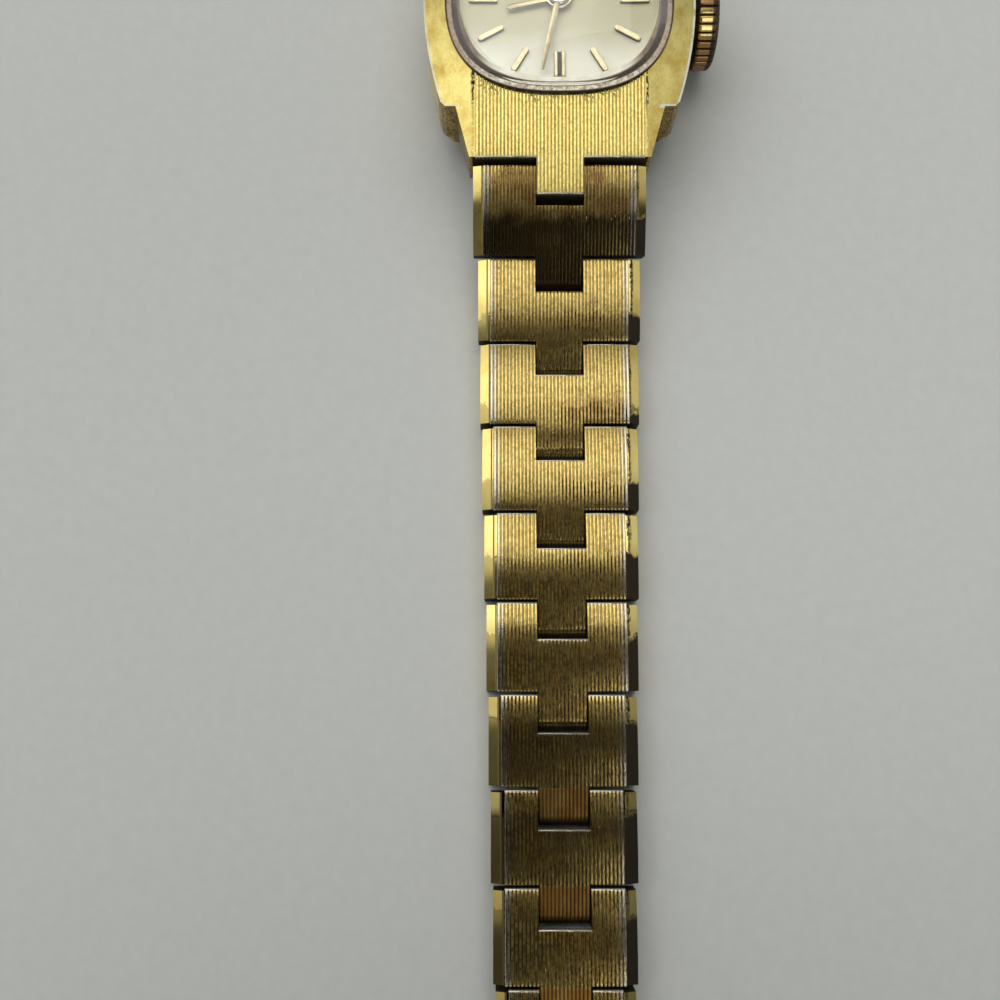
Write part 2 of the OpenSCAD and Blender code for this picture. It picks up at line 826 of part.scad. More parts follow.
// The cock reaches from its foot over the balance
module balance_cock() {
    arm = atan2(screw_places[4][1] - balance_p[1], screw_places[4][0] - balance_p[0]);
    reach = norm(screw_places[4] - balance_p);
    color(steel)
        difference() {
            union() {
                slab(cock_z, bridge_top - 0.1) sector(foot_in, foot_out, 137, 151);
                slab(bridge_top - 0.1 - fit, plate_z) sector(foot_in, foot_out, 137, 151);
                translate([balance_p[0], balance_p[1], cock_z]) {
                    cylinder(r = 0.55, h = 0.3, $fn = round_fn);
                    rotate(arm)
                        translate([0, -0.4, 0])
                            cube([reach - 0.3, 0.8, 0.3]);
                }
                shaft(balance_p + polar(0.98, arm), 0.1, cock_z, hairspring_z + 0.1);
            }
            shaft(balance_p, 0.3 + fit, 0, hairspring_z - 0.04);
            shaft(screw_places[4], 0.18 + fit, 0, plate_z + over);
        }
}

module pallet_bridge() {
    across = line_of_escape + 90;
    foot_reach = 0.95;
    color(steel)
        difference() {
            union() {
                translate([pallet_p[0], pallet_p[1], pallet_bridge_z]) {
                    cylinder(r = 0.42, h = 0.2, $fn = round_fn);
                    rotate(across)
                        translate([-foot_reach, -0.2, 0])
                            cube([2 * foot_reach, 0.4, 0.2]);
                }
                for (s = [-1, 1])
                    shaft(pallet_p + s * polar(foot_reach, across), 0.2, pallet_bridge_z, plate_z);
            }
            shaft(pallet_p, arbor_r + air, 0, pallet_bridge_z + 0.5);
        }
}

// Cheese-headed screws with a driver slot
module movement_screws() {
    color(steel)
        for (i = [0:4]) {
            head_z = i == 4 ? cock_z : bridge_z;
            translate([screw_places[i][0], screw_places[i][1], head_z])
                difference() {
                    union() {
                        translate([0, 0, -0.17])
                            cylinder(r = 0.34, h = 0.17, $fn = round_fn);
                        translate([0, 0, -0.1])
                            cylinder(r = 0.18, h = plate_z - head_z + 0.55, $fn = round_fn);
                    }
                    translate([-0.5, -0.04, -0.18])
                        cube([1, 0.08, 0.08]);
                }
        }
}

module jewel(p, low) {
    difference() {
        shaft(p, 0.3, low, low + 0.15);
        shaft(p, arbor_r + 0.02, 0, low + 1);
    }
}

module jewels() {
    color(ruby) {
        for (p = [third_p, fourth_p, escape_p, pallet_p, balance_p])
            jewel(p, plate_z + 0.04);
        for (p = [third_p, fourth_p, escape_p])
            jewel(p, bridge_z + 0.08);
        jewel(balance_p, cock_z + 0.05);
    }
}

// The going train

module center_wheel() {
    color(brass) {
        slab(center_z, center_z + wheel_t)
            crossed_wheel(center_teeth, center_module, third_from, 4, 0.4);
        slab(barrel_high - 0.4, plate_z - 0.03)
            toothed(center_leaves, barrel_module, barrel_at + 180 / center_leaves);
        shaft([0, 0], center_arbor_r, bridge_z, minute_hand_z + hand_t);
    }
}

module third_wheel() {
    color(brass) {
        translate(third_p) {
            slab(third_pinion_z, third_pinion_z + 0.28)
                toothed(third_leaves, center_module, third_from + 180 + 180 / third_leaves);
            slab(third_z, third_z + wheel_t)
                crossed_wheel(third_teeth, third_module, fourth_from, 4, 0.3);
        }
        shaft(third_p, arbor_r, bridge_z + 0.05, plate_z + 0.3);
    }
}

module fourth_wheel() {
    color(brass) {
        translate(fourth_p) {
            slab(fourth_z - 0.2, fourth_z)
                circle(r = 0.22, $fn = round_fn);
            slab(fourth_z, fourth_z + 0.1)
                crossed_wheel(fourth_teeth, fourth_module, escape_from, 4, 0.3);
            slab(third_z - 0.05, plate_z - 0.03)
                toothed(fourth_leaves, third_module, fourth_from + 180 + 180 / fourth_leaves);
        }
        shaft(fourth_p, arbor_r, bridge_z + 0.05, plate_z + 0.3);
    }
}

// Fifteen raked club teeth on a crossed rim
module escape_wheel() {
    tooth = 360 / escape_teeth;
    tip_r = 1.05;
    color(steel) {
        translate(escape_p) {
            slab(fourth_z - 0.05, fourth_z + 0.17)
                toothed(escape_leaves, fourth_module, escape_from + 180 + 180 / escape_leaves);
            slab(escape_z, escape_z + wheel_t) {
                difference() {
                    polygon([for (i = [0:escape_teeth - 1], p = [[0, 0.8], [0.3, tip_r], [0.44, tip_r - 0.04],
                            [0.42, 0.85], [0.55, 0.8]])
                        polar(p[1], tooth * (i + p[0]))]);
                    circle(r = 0.66, $fn = round_fn);
                }
                for (i = [0:3])
                    rotate(90 * i)
                        translate([0, -0.06])
                            square([0.7, 0.12]);
                circle(r = 0.2, $fn = round_fn);
            }
        }
        shaft(escape_p, arbor_r, bridge_z + 0.05, plate_z + 0.3);
    }
}

// The lever: a forked tail toward the balance, and two arms that hold the pallet stones
module pallet_fork() {
    color(steel)
        translate(pallet_p)
            rotate(line_of_escape) {
                slab(fork_z, fork_z + 0.14) {
                    difference() {
                        translate([-0.05, -0.08])
                            square([1.13, 0.16]);
                        translate([0.98, -0.045])
                            square([0.3, 0.09]);
                    }
                    translate([0.86, -0.15])
                        difference() {
                            square([0.2, 0.3]);
                            translate([0.1, 0.1]) square([0.3, 0.1]);
                        }
                    circle(r = 0.2, $fn = round_fn);
                    for (s = [-1, 1])
                        mirror([0, s < 0 ? 1 : 0])
                            polygon([[0.08, 0], [0.08, 0.2], [-0.28, 0.82], [-0.42, 0.78], [-0.2, 0.3], [-0.12, 0]]);
                }
                for (s = [-1, 1])
                    translate([-0.4, s * 0.86 - 0.05, fork_z + 0.02])
                        cube([0.24, 0.1, 0.1]);
            }
    color(steel)
        shaft(pallet_p, arbor_r, pallet_bridge_z - 0.02, plate_z + 0.3);
}

module balance_wheel() {
    color(brass) {
        translate(balance_p) {
            slab(balance_z, balance_z + 0.2)
                difference() {
                    circle(r = balance_r, $fn = big_fn);
                    circle(r = balance_r - 0.2, $fn = big_fn);
                }
            slab(balance_z + 0.04, balance_z + 0.16) {
                for (i = [0:2])
                    rotate(120 * i)
                        translate([0, -0.08])
                            square([balance_r - 0.1, 0.16]);
                circle(r = 0.3, $fn = round_fn);
            }
            slab(fork_z + 0.19, fork_z + 0.29)
                circle(r = 0.38, $fn = round_fn);
            rotate(line_of_escape + 180)
                translate([0.3, 0])
                    slab(fork_z + 0.02, fork_z + 0.2)
                        circle(r = 0.04, $fn = 16);
        }
        shaft(balance_p, arbor_r, cock_z + 0.03, plate_z + 0.3);
    }
}

// The breathing spring of the balance, round a split collet
module hairspring() {
    color(steel)
        translate(balance_p)
            slab(hairspring_z, hairspring_z + 0.1) {
                spiral(0.24, 0.86, hairspring_turns, 0.03);
                difference() {
                    circle(r = 0.25, $fn = round_fn);
                    circle(r = arbor_r + 0.04, $fn = round_fn);
                }
            }
}

module cannon_pinion() {
    color(steel)
        difference() {
            union() {
                shaft([0, 0], pipe_r, recess_z + 0.04, minute_hand_z + hand_t);
                slab(recess_z + 0.04, recess_z + 0.22)
                    toothed(cannon_leaves, motion_module, minute_from);
            }
            shaft([0, 0], center_arbor_r + 0.002, 0, case_top);
        }
}

module minute_wheel() {
    color(brass) {
        translate(minute_p) {
            difference() {
                union() {
                    slab(recess_z + 0.06, recess_z + 0.18)
                        toothed(minute_teeth, motion_module, minute_from + 180 + 180 / minute_teeth);
                    slab(recess_z + 0.18, recess_z + 0.5)
                        toothed(minute_leaves, motion_module, minute_from + 180);
                }
                circle_bore(0.15 + running);
            }
        }
    }
}

module circle_bore(r) {
    cylinder(r = r, h = case_top, $fn = round_fn);
}

module hour_wheel() {
    color(brass)
        difference() {
            union() {
                slab(recess_z + 0.3, recess_z + 0.46)
                    toothed(hour_teeth, motion_module, minute_from + 180 / hour_teeth);
                shaft([0, 0], hour_pipe_r, recess_z + 0.3, hour_hand_z + hand_t);
            }
            shaft([0, 0], hour_pipe_in, 0, case_top);
        }
}

// Bracelet

// A round bar along X, with both ends bevelled to the fall of the polished edges
module crowned_bar(w) {
    rotate([0, 90, 0])
        rotate_extrude($fn = big_fn)
            polygon([[0, -w / 2], [link_crown_r - edge_drop, -w / 2], [link_crown_r, edge_w - w / 2],
                [link_crown_r, w / 2 - edge_w], [link_crown_r - edge_drop, w / 2], [0, w / 2]]);
}

// The tongue: the crowned sheet carried on, and rolled into a knuckle round the next pin
module tongue() {
    difference() {
        union() {
            intersection() {
                translate([-tongue_w / 2, -pitch, -pin_h])
                    cube([tongue_w, pitch + wing_south + sheet, link_h]);
                translate([0, wing_mid, link_top - link_crown_r])
                    difference() {
                        bar_x(link_crown_r, -tongue_w, tongue_w, big_fn);
                        bar_x(link_crown_r - sheet, -tongue_w - 1, tongue_w + 1, big_fn);
                    }
            }
            translate([0, -pitch, 0])
                bar_x(knuckle_r, -tongue_w / 2, tongue_w / 2);
        }
        translate([0, -pitch, 0])
            bar_x(pin_r + running, -tongue_w, tongue_w);
    }
}

// The folded shell of a link: crowned top, side walls, end walls and the ears beside its notch. An eave
// carries the top on beyond the north wall
module link_shell(w, south = wing_south, eave = 0) {
    difference() {
        intersection() {
            translate([-w / 2, south, -pin_h])
                cube([w, wing_north + eave - south, link_h]);
            translate([0, wing_mid, link_top - link_crown_r])
                crowned_bar(w);
        }
        intersection() {
            translate([sheet - w / 2, south + sheet, -pin_h - over])
                cube([w - 2 * sheet, wing_north - south - 2 * sheet, link_h + over]);
            translate([0, wing_mid, link_top - link_crown_r])
                bar_x(link_crown_r - sheet, -w, w, big_fn);
        }
        if (eave > 0)
            intersection() {
                translate([-w, wing_north, -pin_h - over])
                    cube([2 * w, eave + over, link_h + over]);
                translate([0, wing_mid, link_top - link_crown_r])
                    bar_x(link_crown_r - sheet, -2 * w, 2 * w, big_fn);
            }
        translate([-notch_w / 2, notch_south, -pin_h - over])
            cube([notch_w, wing_north + eave - notch_south + over, link_h + 2 * over]);
    }
    for (s = [-1, 1])
        translate([s * (notch_w + ear_t) / 2 - ear_t / 2, notch_south, 0.15 - pin_h])
            cube([ear_t, wing_north - notch_south - 0.1, link_h - sheet - 0.25]);
}

module link_pin(w) {
    bar_x(pin_r, 0.05 - w / 2, w / 2 - 0.05);
}

module bracelet_link(w, eave) {
    color(gold) {
        difference() {
            union() {
                link_shell(w, eave = eave);
                tongue();
            }
            bar_x(pin_r + fit, -w, w);
        }
        link_pin(w);
    }
}

// Puts a piece drawn in its link's frame at the place of link i, on either side of the case
module at_link(i, twelve) {
    rotate(twelve ? 180 : 0)
        translate(pin_at(i))
            rotate([slope(i), 0, 0])
                children();
}

// Only the first link has an eave, toward its hooded end
function eave_of(i) = i == 1 ? first_eave : 0;

module six_link(i) {
    at_link(i, false) bracelet_link(link_w(i), eave_of(i));
}

module twelve_link(i) {
    at_link(i, true) bracelet_link(link_w(i), eave_of(i));
}

// Clasp

end_south = -2.2;
plate_low = 0.12 - pin_h;
base_t = 0.4;
base_top = plate_low + base_t;
hinge_y = end_south - clasp_l;
hinge_r = 0.5;
cover_w = clasp_w + 1.1;
cover_t = 0.35;
cover_roof = pin_h - cover_t;
hook_top = cover_roof - air;

// The flat ladder with its hook slots
module ladder_end() {
    w = link_w(six_links + 1);
    slot_step = (ladder_l - 3) / ladder_slots;
    at_link(six_links + 1, false)
        color(gold) {
            difference() {
                union() {
                    link_shell(w, end_south);
                    translate([-ladder_w / 2, end_south - ladder_l, plate_low])
                        cube([ladder_w, ladder_l + 0.3, ladder_t]);
                }
                bar_x(pin_r + fit, -w, w);
                for (i = [0:ladder_slots - 1])
                    translate([-ladder_w / 2 + 0.7, end_south - 1.6 - slot_step * (i + 0.5), plate_low - over])
                        cube([ladder_w - 1.4, 1.1, 2]);
            }
            link_pin(w);
        }
}

// A channel with a hook for the ladder, and ears for the cover's hinge
module clasp_base() {
    w = link_w(twelve_links + 1);
    flange_h = 0.9;
    at_link(twelve_links + 1, true)
        color(gold) {
            difference() {
                union() {
                    link_shell(w, end_south);
                    translate([-clasp_w / 2, hinge_y + 1.1, plate_low])
                        cube([clasp_w, clasp_l - 0.8, base_t]);
                    for (s = [-1, 1])
                        translate([s * (clasp_w - 0.3) / 2 - 0.15, hinge_y + 1.1, plate_low])
                            cube([0.3, clasp_l - 2, flange_h]);
                    for (s = [-1, 1])
                        translate([s * (clasp_w / 2 - 0.6) - 0.6, hinge_y, 0]) {
                            bar_x(hinge_r, 0, 1.2);
                            translate([0, 0, plate_low])
                                cube([1.2, 1.5, base_t]);
                        }
                    translate([-0.6, hinge_y + clasp_l * 0.45, plate_low])
                        cube([1.2, 0.35, hook_top - plate_low]);
                    translate([-0.6, hinge_y + clasp_l * 0.45, base_top + ladder_t + air])
                        cube([1.2, 1.0, hook_top - base_top - ladder_t - air]);
                }
                bar_x(pin_r + fit, -w, w);
                translate([0, hinge_y, 0])
                    bar_x(pin_r + fit, -w, w);
            }
            link_pin(w);
            translate([0, hinge_y, 0])
                bar_x(pin_r, 0.05 - clasp_w / 2, clasp_w / 2 - 0.05);
        }
}

// The cover lies open on its back, its hollow upward, and folds over the base; its end wall is lower
module clasp_cover() {
    knuckle_w = clasp_w - 2.4 - 0.1;
    cover_l = clasp_l - 1;
    wall_h = 1.35;
    end_wall_h = pin_h - base_top - 0.1;
    near = hinge_y - 0.75;
    at_link(twelve_links + 1, true)
        color(gold)
            difference() {
                union() {
                    difference() {
                        translate([-cover_w / 2, near - cover_l, -pin_h])
                            cube([cover_w, cover_l, wall_h]);
                        translate([cover_t - cover_w / 2, near - cover_l + cover_t, cover_t - pin_h])
                            cube([cover_w - 2 * cover_t, cover_l, wall_h]);
                        translate([-cover_w, near - cover_l - 1, end_wall_h - pin_h])
                            cube([2 * cover_w, 1 + cover_t, wall_h]);
                    }
                    translate([0, hinge_y, 0])
                        bar_x(hinge_r, -knuckle_w / 2, knuckle_w / 2);
                    translate([-knuckle_w / 2, near - 0.2, -0.6])
                        cube([knuckle_w, 0.7, 0.55]);
                }
                translate([0, hinge_y, 0])
                    bar_x(pin_r + running, -clasp_w, clasp_w);
            }
}

case();
case_back();
movement_ring();
crystal();
dial();
hour_markers();
hour_hand();
minute_hand();
crown();
crown_tube();
winding_stem();
winding_pinion();
sliding_pinion();
crown_wheel();
ratchet_wheel();
barrel_arbor();
click();
barrel();
mainspring();
mainplate();
barrel_bridge();
train_bridge();
balance_cock();
pallet_bridge();
movement_screws();
jewels();
center_wheel();
third_wheel();
fourth_wheel();
escape_wheel();
pallet_fork();
balance_wheel();
hairspring();
cannon_pinion();
minute_wheel();
hour_wheel();
ladder_end();
clasp_base();
clasp_cover();
for (i = [1:six_links])
    six_link(i);
for (i = [1:twelve_links])
    twelve_link(i);
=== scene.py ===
import json
import math
import bpy
from mathutils import Matrix, Vector


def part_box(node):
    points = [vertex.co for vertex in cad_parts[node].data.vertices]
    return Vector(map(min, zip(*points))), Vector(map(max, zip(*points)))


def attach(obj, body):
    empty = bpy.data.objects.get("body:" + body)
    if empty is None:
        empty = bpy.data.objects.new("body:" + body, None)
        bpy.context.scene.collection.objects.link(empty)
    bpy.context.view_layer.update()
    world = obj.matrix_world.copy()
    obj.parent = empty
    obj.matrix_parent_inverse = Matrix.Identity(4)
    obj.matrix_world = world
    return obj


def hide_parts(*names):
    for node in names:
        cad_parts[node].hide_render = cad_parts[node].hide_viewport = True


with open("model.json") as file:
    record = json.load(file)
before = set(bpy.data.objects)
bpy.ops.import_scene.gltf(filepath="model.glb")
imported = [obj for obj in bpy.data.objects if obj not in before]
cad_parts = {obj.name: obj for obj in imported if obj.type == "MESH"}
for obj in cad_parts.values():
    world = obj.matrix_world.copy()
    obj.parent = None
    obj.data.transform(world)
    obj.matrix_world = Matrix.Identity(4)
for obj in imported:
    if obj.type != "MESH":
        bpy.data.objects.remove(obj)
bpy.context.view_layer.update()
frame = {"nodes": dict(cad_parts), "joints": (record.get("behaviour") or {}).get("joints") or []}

mm = 0.001
joints = {j["name"]: j for j in frame["joints"]}
nodes = frame["nodes"]


# small tools for meshes

def addObject(name, data):
    thing = bpy.data.objects.new(name, data)
    bpy.context.scene.collection.objects.link(thing)
    return thing


def makePiece(name, verts, faces, material, body, slotName, smooth=True):
    mesh = bpy.data.meshes.new(name)
    mesh.from_pydata([tuple(c * mm for c in v) for v in verts], [], faces)
    mesh.materials.append(material)
    mesh.validate()
    mesh.update()
    for face in mesh.polygons:
        face.use_smooth = smooth
    piece = addObject(name, mesh)
    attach(piece, body)
    return piece


def dressNode(name, material):
    # a node of the frame gets a better finish
    slots = nodes[name].data.materials
    slots.clear()
    slots.append(material)


def joinParts(parts):
    # several (verts, faces) become one
    verts, faces = [], []
    for partVerts, partFaces in parts:
        start = len(verts)
        verts += partVerts
        faces += [tuple(i + start for i in f) for f in partFaces]
    return verts, faces


def tube(layers, count):
    # the faces between rings of count points each
    faces = []
    for layer in range(layers - 1):
        low, high = layer * count, (layer + 1) * count
        for i in range(count):
            j = (i + 1) % count
            faces.append((low + i, low + j, high + j, high + i))
    return faces


def lathe(profile, steps):
    # profile is a list of (radius, height) turned about Z
    verts = []
    for radius, height in profile:
        for s in range(steps):
            a = 2 * math.pi * s / steps
            verts.append((radius * math.cos(a), radius * math.sin(a), height))
    return verts, tube(len(profile), steps)


def bevelledBar(low, high, cut):
    # a block with its upper edges cut off
    (x0, y0, z0), (x1, y1, z1) = low, high
    verts = []
    for z, inset in ((z0, 0), (z1 - cut, 0), (z1, cut)):
        verts += [(x0 + inset, y0 + inset, z), (x1 - inset, y0 + inset, z),
                  (x1 - inset, y1 - inset, z), (x0 + inset, y1 - inset, z)]
    return verts, [(3, 2, 1, 0), (8, 9, 10, 11)] + tube(3, 4)


def moved(part, matrix):
    verts, faces = part
    return [tuple(matrix @ Vector(v)) for v in verts], faces


# small tools for materials

def startMaterial(name):
    material = bpy.data.materials.new(name)
    material.use_nodes = True
    tree = material.node_tree
    tree.nodes.clear()
    output = tree.nodes.new("ShaderNodeOutputMaterial")
    bsdf = tree.nodes.new("ShaderNodeBsdfPrincipled")
    tree.links.new(bsdf.outputs[0], output.inputs[0])
    return material, tree, bsdf


def feed(tree, socket, value):
    if isinstance(value, bpy.types.NodeSocket):
        tree.links.new(value, socket)
    elif isinstance(value, (tuple, list)) and len(value) == 3 and socket.type == "RGBA":
        socket.default_value = (*value, 1)
    else:
        socket.default_value = value


def place(tree, stretch=(1, 1, 1)):
    # the piece's own place at rest, in millimetres
    coord = tree.nodes.new("ShaderNodeTexCoord")
    mapping = tree.nodes.new("ShaderNodeMapping")
    mapping.inputs["Scale"].default_value = [s / mm for s in stretch]
    tree.links.new(coord.outputs["Object"], mapping.inputs["Vector"])
    return mapping.outputs[0]


def noise(tree, perMm, detail=3, seed=0.0, stretch=(1, 1, 1), rough=0.55):
    node = tree.nodes.new("ShaderNodeTexNoise")
    node.noise_dimensions = "4D"
    tree.links.new(place(tree, stretch), node.inputs["Vector"])
    node.inputs["W"].default_value = seed
    node.inputs["Scale"].default_value = perMm
    node.inputs["Detail"].default_value = detail
    node.inputs["Roughness"].default_value = rough
    return node.outputs["Fac"]


def calc(tree, operation, a, b=0.0, c=0.0):
    node = tree.nodes.new("ShaderNodeMath")
    node.operation = operation
    feed(tree, node.inputs[0], a)
    feed(tree, node.inputs[1], b)
    feed(tree, node.inputs[2], c)
    return node.outputs[0]


def rise(tree, value, low, high, toLow=0.0, toHigh=1.0):
    # a smooth step from low to high
    node = tree.nodes.new("ShaderNodeMapRange")
    node.interpolation_type = "SMOOTHSTEP"
    feed(tree, node.inputs["Value"], value)
    node.inputs["From Min"].default_value = low
    node.inputs["From Max"].default_value = high
    node.inputs["To Min"].default_value = toLow
    node.inputs["To Max"].default_value = toHigh
    return node.outputs[0]


def mixColour(tree, amount, a, b):
    node = tree.nodes.new("ShaderNodeMix")
    node.data_type = "RGBA"
    feed(tree, node.inputs[0], amount)
    feed(tree, node.inputs[6], a)
    feed(tree, node.inputs[7], b)
    return node.outputs[2]


def split(tree, vector):
    node = tree.nodes.new("ShaderNodeSeparateXYZ")
    tree.links.new(vector, node.inputs[0])
    return node.outputs


def axes(tree):
    return split(tree, place(tree))


def facing(tree):
    geometry = tree.nodes.new("ShaderNodeNewGeometry")
    return split(tree, geometry.outputs["Normal"])


def largest(tree, first, *others):
    for other in others:
        first = calc(tree, "MAXIMUM", first, other)
    return first


def product(tree, first, *others):
    for other in others:
        first = calc(tree, "MULTIPLY", first, other)
    return first


def absolute(tree, value):
    return calc(tree, "ABSOLUTE", value)


def distanceFrom(tree, value, line):
    return absolute(tree, calc(tree, "SUBTRACT", value, line))


def radiusOf(tree, a, b):
    return calc(tree, "SQRT", calc(tree, "ADD", product(tree, a, a), product(tree, b, b)))


def bump(tree, bsdf, height, depthMm, strength=1.0):
    node = tree.nodes.new("ShaderNodeBump")
    node.inputs["Strength"].default_value = strength
    node.inputs["Distance"].default_value = depthMm * mm
    tree.links.new(height, node.inputs["Height"])
    tree.links.new(node.outputs[0], bsdf.inputs["Normal"])


# gold finishes

gold = {
    # brightest and deepest tone of each finish
    "ribs": ((0.93, 0.70, 0.24), (0.68, 0.45, 0.12)),
    "band": ((0.99, 0.84, 0.31), (0.80, 0.61, 0.18)),
    "strips": ((0.97, 0.80, 0.29), (0.88, 0.64, 0.17)),
    "flanks": ((0.89, 0.75, 0.26), (0.64, 0.46, 0.11)),
    "brown": (0.25, 0.10, 0.03),
    "red": (0.30, 0.085, 0.045),
    "copper": (0.29, 0.13, 0.022),
    "grimeAndShade": (0.014, 0.009, 0.005),
    "worn": (0.93, 0.87, 0.70),
    "silver": (0.74, 0.72, 0.66),
    "ribPitch": 0.1962,
    # where the grime between the ribs starts and is full, and its least and its most
    "grooves": {"ribs": (0.48, 0.80, 0.60, 1.0), "band": (0.60, 0.92, 0.38, 0.72)},
    "bumpDepth": 0.012,
    "bumpStrength": 0.7,
}


def pastLine(tree, y, line):
    # how far a point lies beyond the line's Y, in its own direction
    lineY, away = line[:2]
    return product(tree, calc(tree, "SUBTRACT", y, lineY), away)


def ragged(tree, run, blotch, reach):
    return calc(tree, "ADD", run, product(tree, calc(tree, "SUBTRACT", blotch, 0.5), reach))


def reliefSlope(degrees):
    # what a millimetre adds to the bump's height, so that the surface seems tilted
    return math.tan(math.radians(degrees)) / (gold["bumpDepth"] * gold["bumpStrength"])


def wornGold(name, seed, tarnish, finish, rough, seamX=None, seamLong=True, stainY=None, wornLitEdges=(),
             sidesX=None, tip=None, lean=0.0, wallShadeTo=None, shadedLowWalls=None, darkReflectionEnd=None, notchShadeX=None,
             outward=None, well=None, grime=None, sootAndDarkReflection=None, rubbedRim=None):
    # lines are (y, direction) or (y, direction, amount), and the pale edges, worn and lit, are (y, width,
    # from x, to x)
    material, tree, bsdf = startMaterial(name)
    bsdf.inputs["Specular IOR Level"].default_value = 0.2    # grime and painted shade hardly shine
    ribbed = finish in ("ribs", "band")
    bright, deep = gold[finish]
    metallic = 1.0
    x, y, z = axes(tree)
    sideX = absolute(tree, x)
    sideY = absolute(tree, y)
    grain = noise(tree, 9, 2, seed, (1, 0.6, 1))
    blotch = noise(tree, 1.1, 4, seed + 3, (1, 0.7, 1), 0.62)
    cloud = noise(tree, 0.32, 2, seed + 7)
    mixed = grain
    if not ribbed:
        mixed = calc(tree, "ADD", product(tree, blotch, 0.8), product(tree, grain, 0.2))
    colour = mixColour(tree, rise(tree, mixed, 0.36, 0.68), bright, deep)
    # brown tarnish in clouds
    mass = calc(tree, "ADD", product(tree, blotch, 0.55), product(tree, cloud, 0.45))
    edge = 0.68 - 0.30 * tarnish
    brown = product(tree, rise(tree, mass, edge - 0.05, edge + 0.10), 0.35 + 0.5 * tarnish)
    colour = mixColour(tree, brown, colour, gold["brown"])
    if ribbed:
        red = noise(tree, 0.75, 3, seed + 21, (1, 0.7, 1))
        red = rise(tree, red, 0.52, 0.68, 0.0, 0.75 * tarnish)
        colour = mixColour(tree, product(tree, red, rise(tree, grain, 0.3, 0.6)), colour, gold["red"])
    if stainY is not None:
        # the part of a tongue that rubbed under its neighbour is stained evenly
        patch = product(tree, rise(tree, distanceFrom(tree, y, stainY), 0.95, 0.75),
                        rise(tree, sideX, 1.5, 1.35), rise(tree, blotch, 0.25, 0.55, 0.55, 0.95))
        colour = mixColour(tree, patch, colour, gold["copper"])
        metallic = calc(tree, "SUBTRACT", 1.0, product(tree, patch, 0.65))
    # specks and pits of dirt, fewer where the metal is smooth
    first = 0.60 - 0.05 * tarnish if ribbed else 0.67
    speck = rise(tree, noise(tree, 5.5, 3, seed + 11, (1, 0.8, 1), 0.7), first, 0.74)
    grimeAndShade = product(tree, speck, 0.45 + 0.4 * tarnish)
    if sidesX is not None:
        # the outer ribs are rubbed pale
        rubbed = product(tree, rise(tree, sideX, sidesX - 0.6, sidesX - 0.1),
                         rise(tree, blotch, 0.3, 0.6, 0.3, 0.85))
        colour = mixColour(tree, rubbed, colour, gold["worn"])
    edgeWearAndHighlight = 0.0
    for edgeY, width, fromX, toX in wornLitEdges:
        line = rise(tree, distanceFrom(tree, y, edgeY), width, width * 0.4)
        line = product(tree, line, rise(tree, sideX, toX, toX - 0.04),
                       rise(tree, sideX, fromX - 0.04, fromX))
        edgeWearAndHighlight = largest(tree, line, edgeWearAndHighlight)
    if ribbed:
        # grime lies between the ribs, and is rubbed away at the worn edges
        turn = calc(tree, "FRACT", calc(tree, "ADD", calc(tree, "DIVIDE", x, gold["ribPitch"]), 0.5))
        valley = product(tree, distanceFrom(tree, turn, 0.5), 2)
        start, full, least, most = gold["grooves"][finish]
        fill = product(tree, rise(tree, valley, start, full), rise(tree, grain, 0.30, 0.62, least, most))
        if wornLitEdges:
            fill = product(tree, fill, calc(tree, "SUBTRACT", 1.0, edgeWearAndHighlight))
        if stainY is not None:
            fill = product(tree, fill, rise(tree, patch, 0.3, 0.9, 1.0, 0.45))
        grimeAndShade = largest(tree, grimeAndShade, fill)
    # pale edges: wear, and a painted highlight where the edge catches the light
    if wornLitEdges:
        colour = mixColour(tree, product(tree, edgeWearAndHighlight, 0.85), colour, gold["worn"])
    if seamX is not None:
        # a seam runs beside the ribs: a thin line on one side, ragged and pitted on the other
        off = distanceFrom(tree, sideX, seamX)
        thin = rise(tree, off, 0.06, 0.02, 0.0, 0.8)
        torn = product(tree, rise(tree, ragged(tree, off, blotch, 0.4), 0.12, 0.02),
                       rise(tree, grain, 0.35, 0.55))
        if seamLong:
            seam = largest(tree, thin, product(tree, torn, rise(tree, x, -0.1, 0.1)))
        else:
            seam = product(tree, torn, rise(tree, sideY, 7.4, 5.8, 0.25, 1.0))
        grimeAndShade = largest(tree, grimeAndShade, seam)
    normal = facing(tree)
    # painted shade: the end walls that face the next link are painted black, as in the shadow of the gap
    wallShade = rise(tree, absolute(tree, normal[1]), 0.60, 0.85, 0.0, 0.95)
    if wallShadeTo is not None:
        wallShade = product(tree, wallShade, rise(tree, sideX, wallShadeTo + 0.05, wallShadeTo))
    grimeAndShade = largest(tree, grimeAndShade, wallShade)
    if notchShadeX is not None:
        # painted shade: so are the walls inside the notch
        inner = product(tree, rise(tree, sideX, notchShadeX + 0.03, notchShadeX - 0.03),
                        rise(tree, normal[2], -0.5, -0.2, 0.0, 0.95), rise(tree, normal[2], 0.96, 0.90))
        grimeAndShade = largest(tree, grimeAndShade, inner)
    if darkReflectionEnd is not None:
        # painted dark reflection: the strips are blackened toward their outer end, more on one side
        run = ragged(tree, pastLine(tree, y, darkReflectionEnd), blotch, 2.4)
        black = product(tree, rise(tree, run, -0.12, 0.12), rise(tree, x, -0.1, 0.1, 0.35, 0.99),
                        rise(tree, normal[2], 0.5, 0.8, 0.15, 1.0))
        grimeAndShade = largest(tree, grimeAndShade, black)
    if tip is not None:
        # painted shade: the rolled end of the tongue is painted dark
        grimeAndShade = largest(tree, grimeAndShade, rise(tree, pastLine(tree, y, tip), -0.15, 0.10, 0.0, 0.95))
    if grime is not None:
        caught = product(tree, grime(tree), rise(tree, grain, 0.46, 0.60), rise(tree, blotch, 0.4, 0.6))
        grimeAndShade = largest(tree, grimeAndShade, caught)
    if shadedLowWalls is not None:
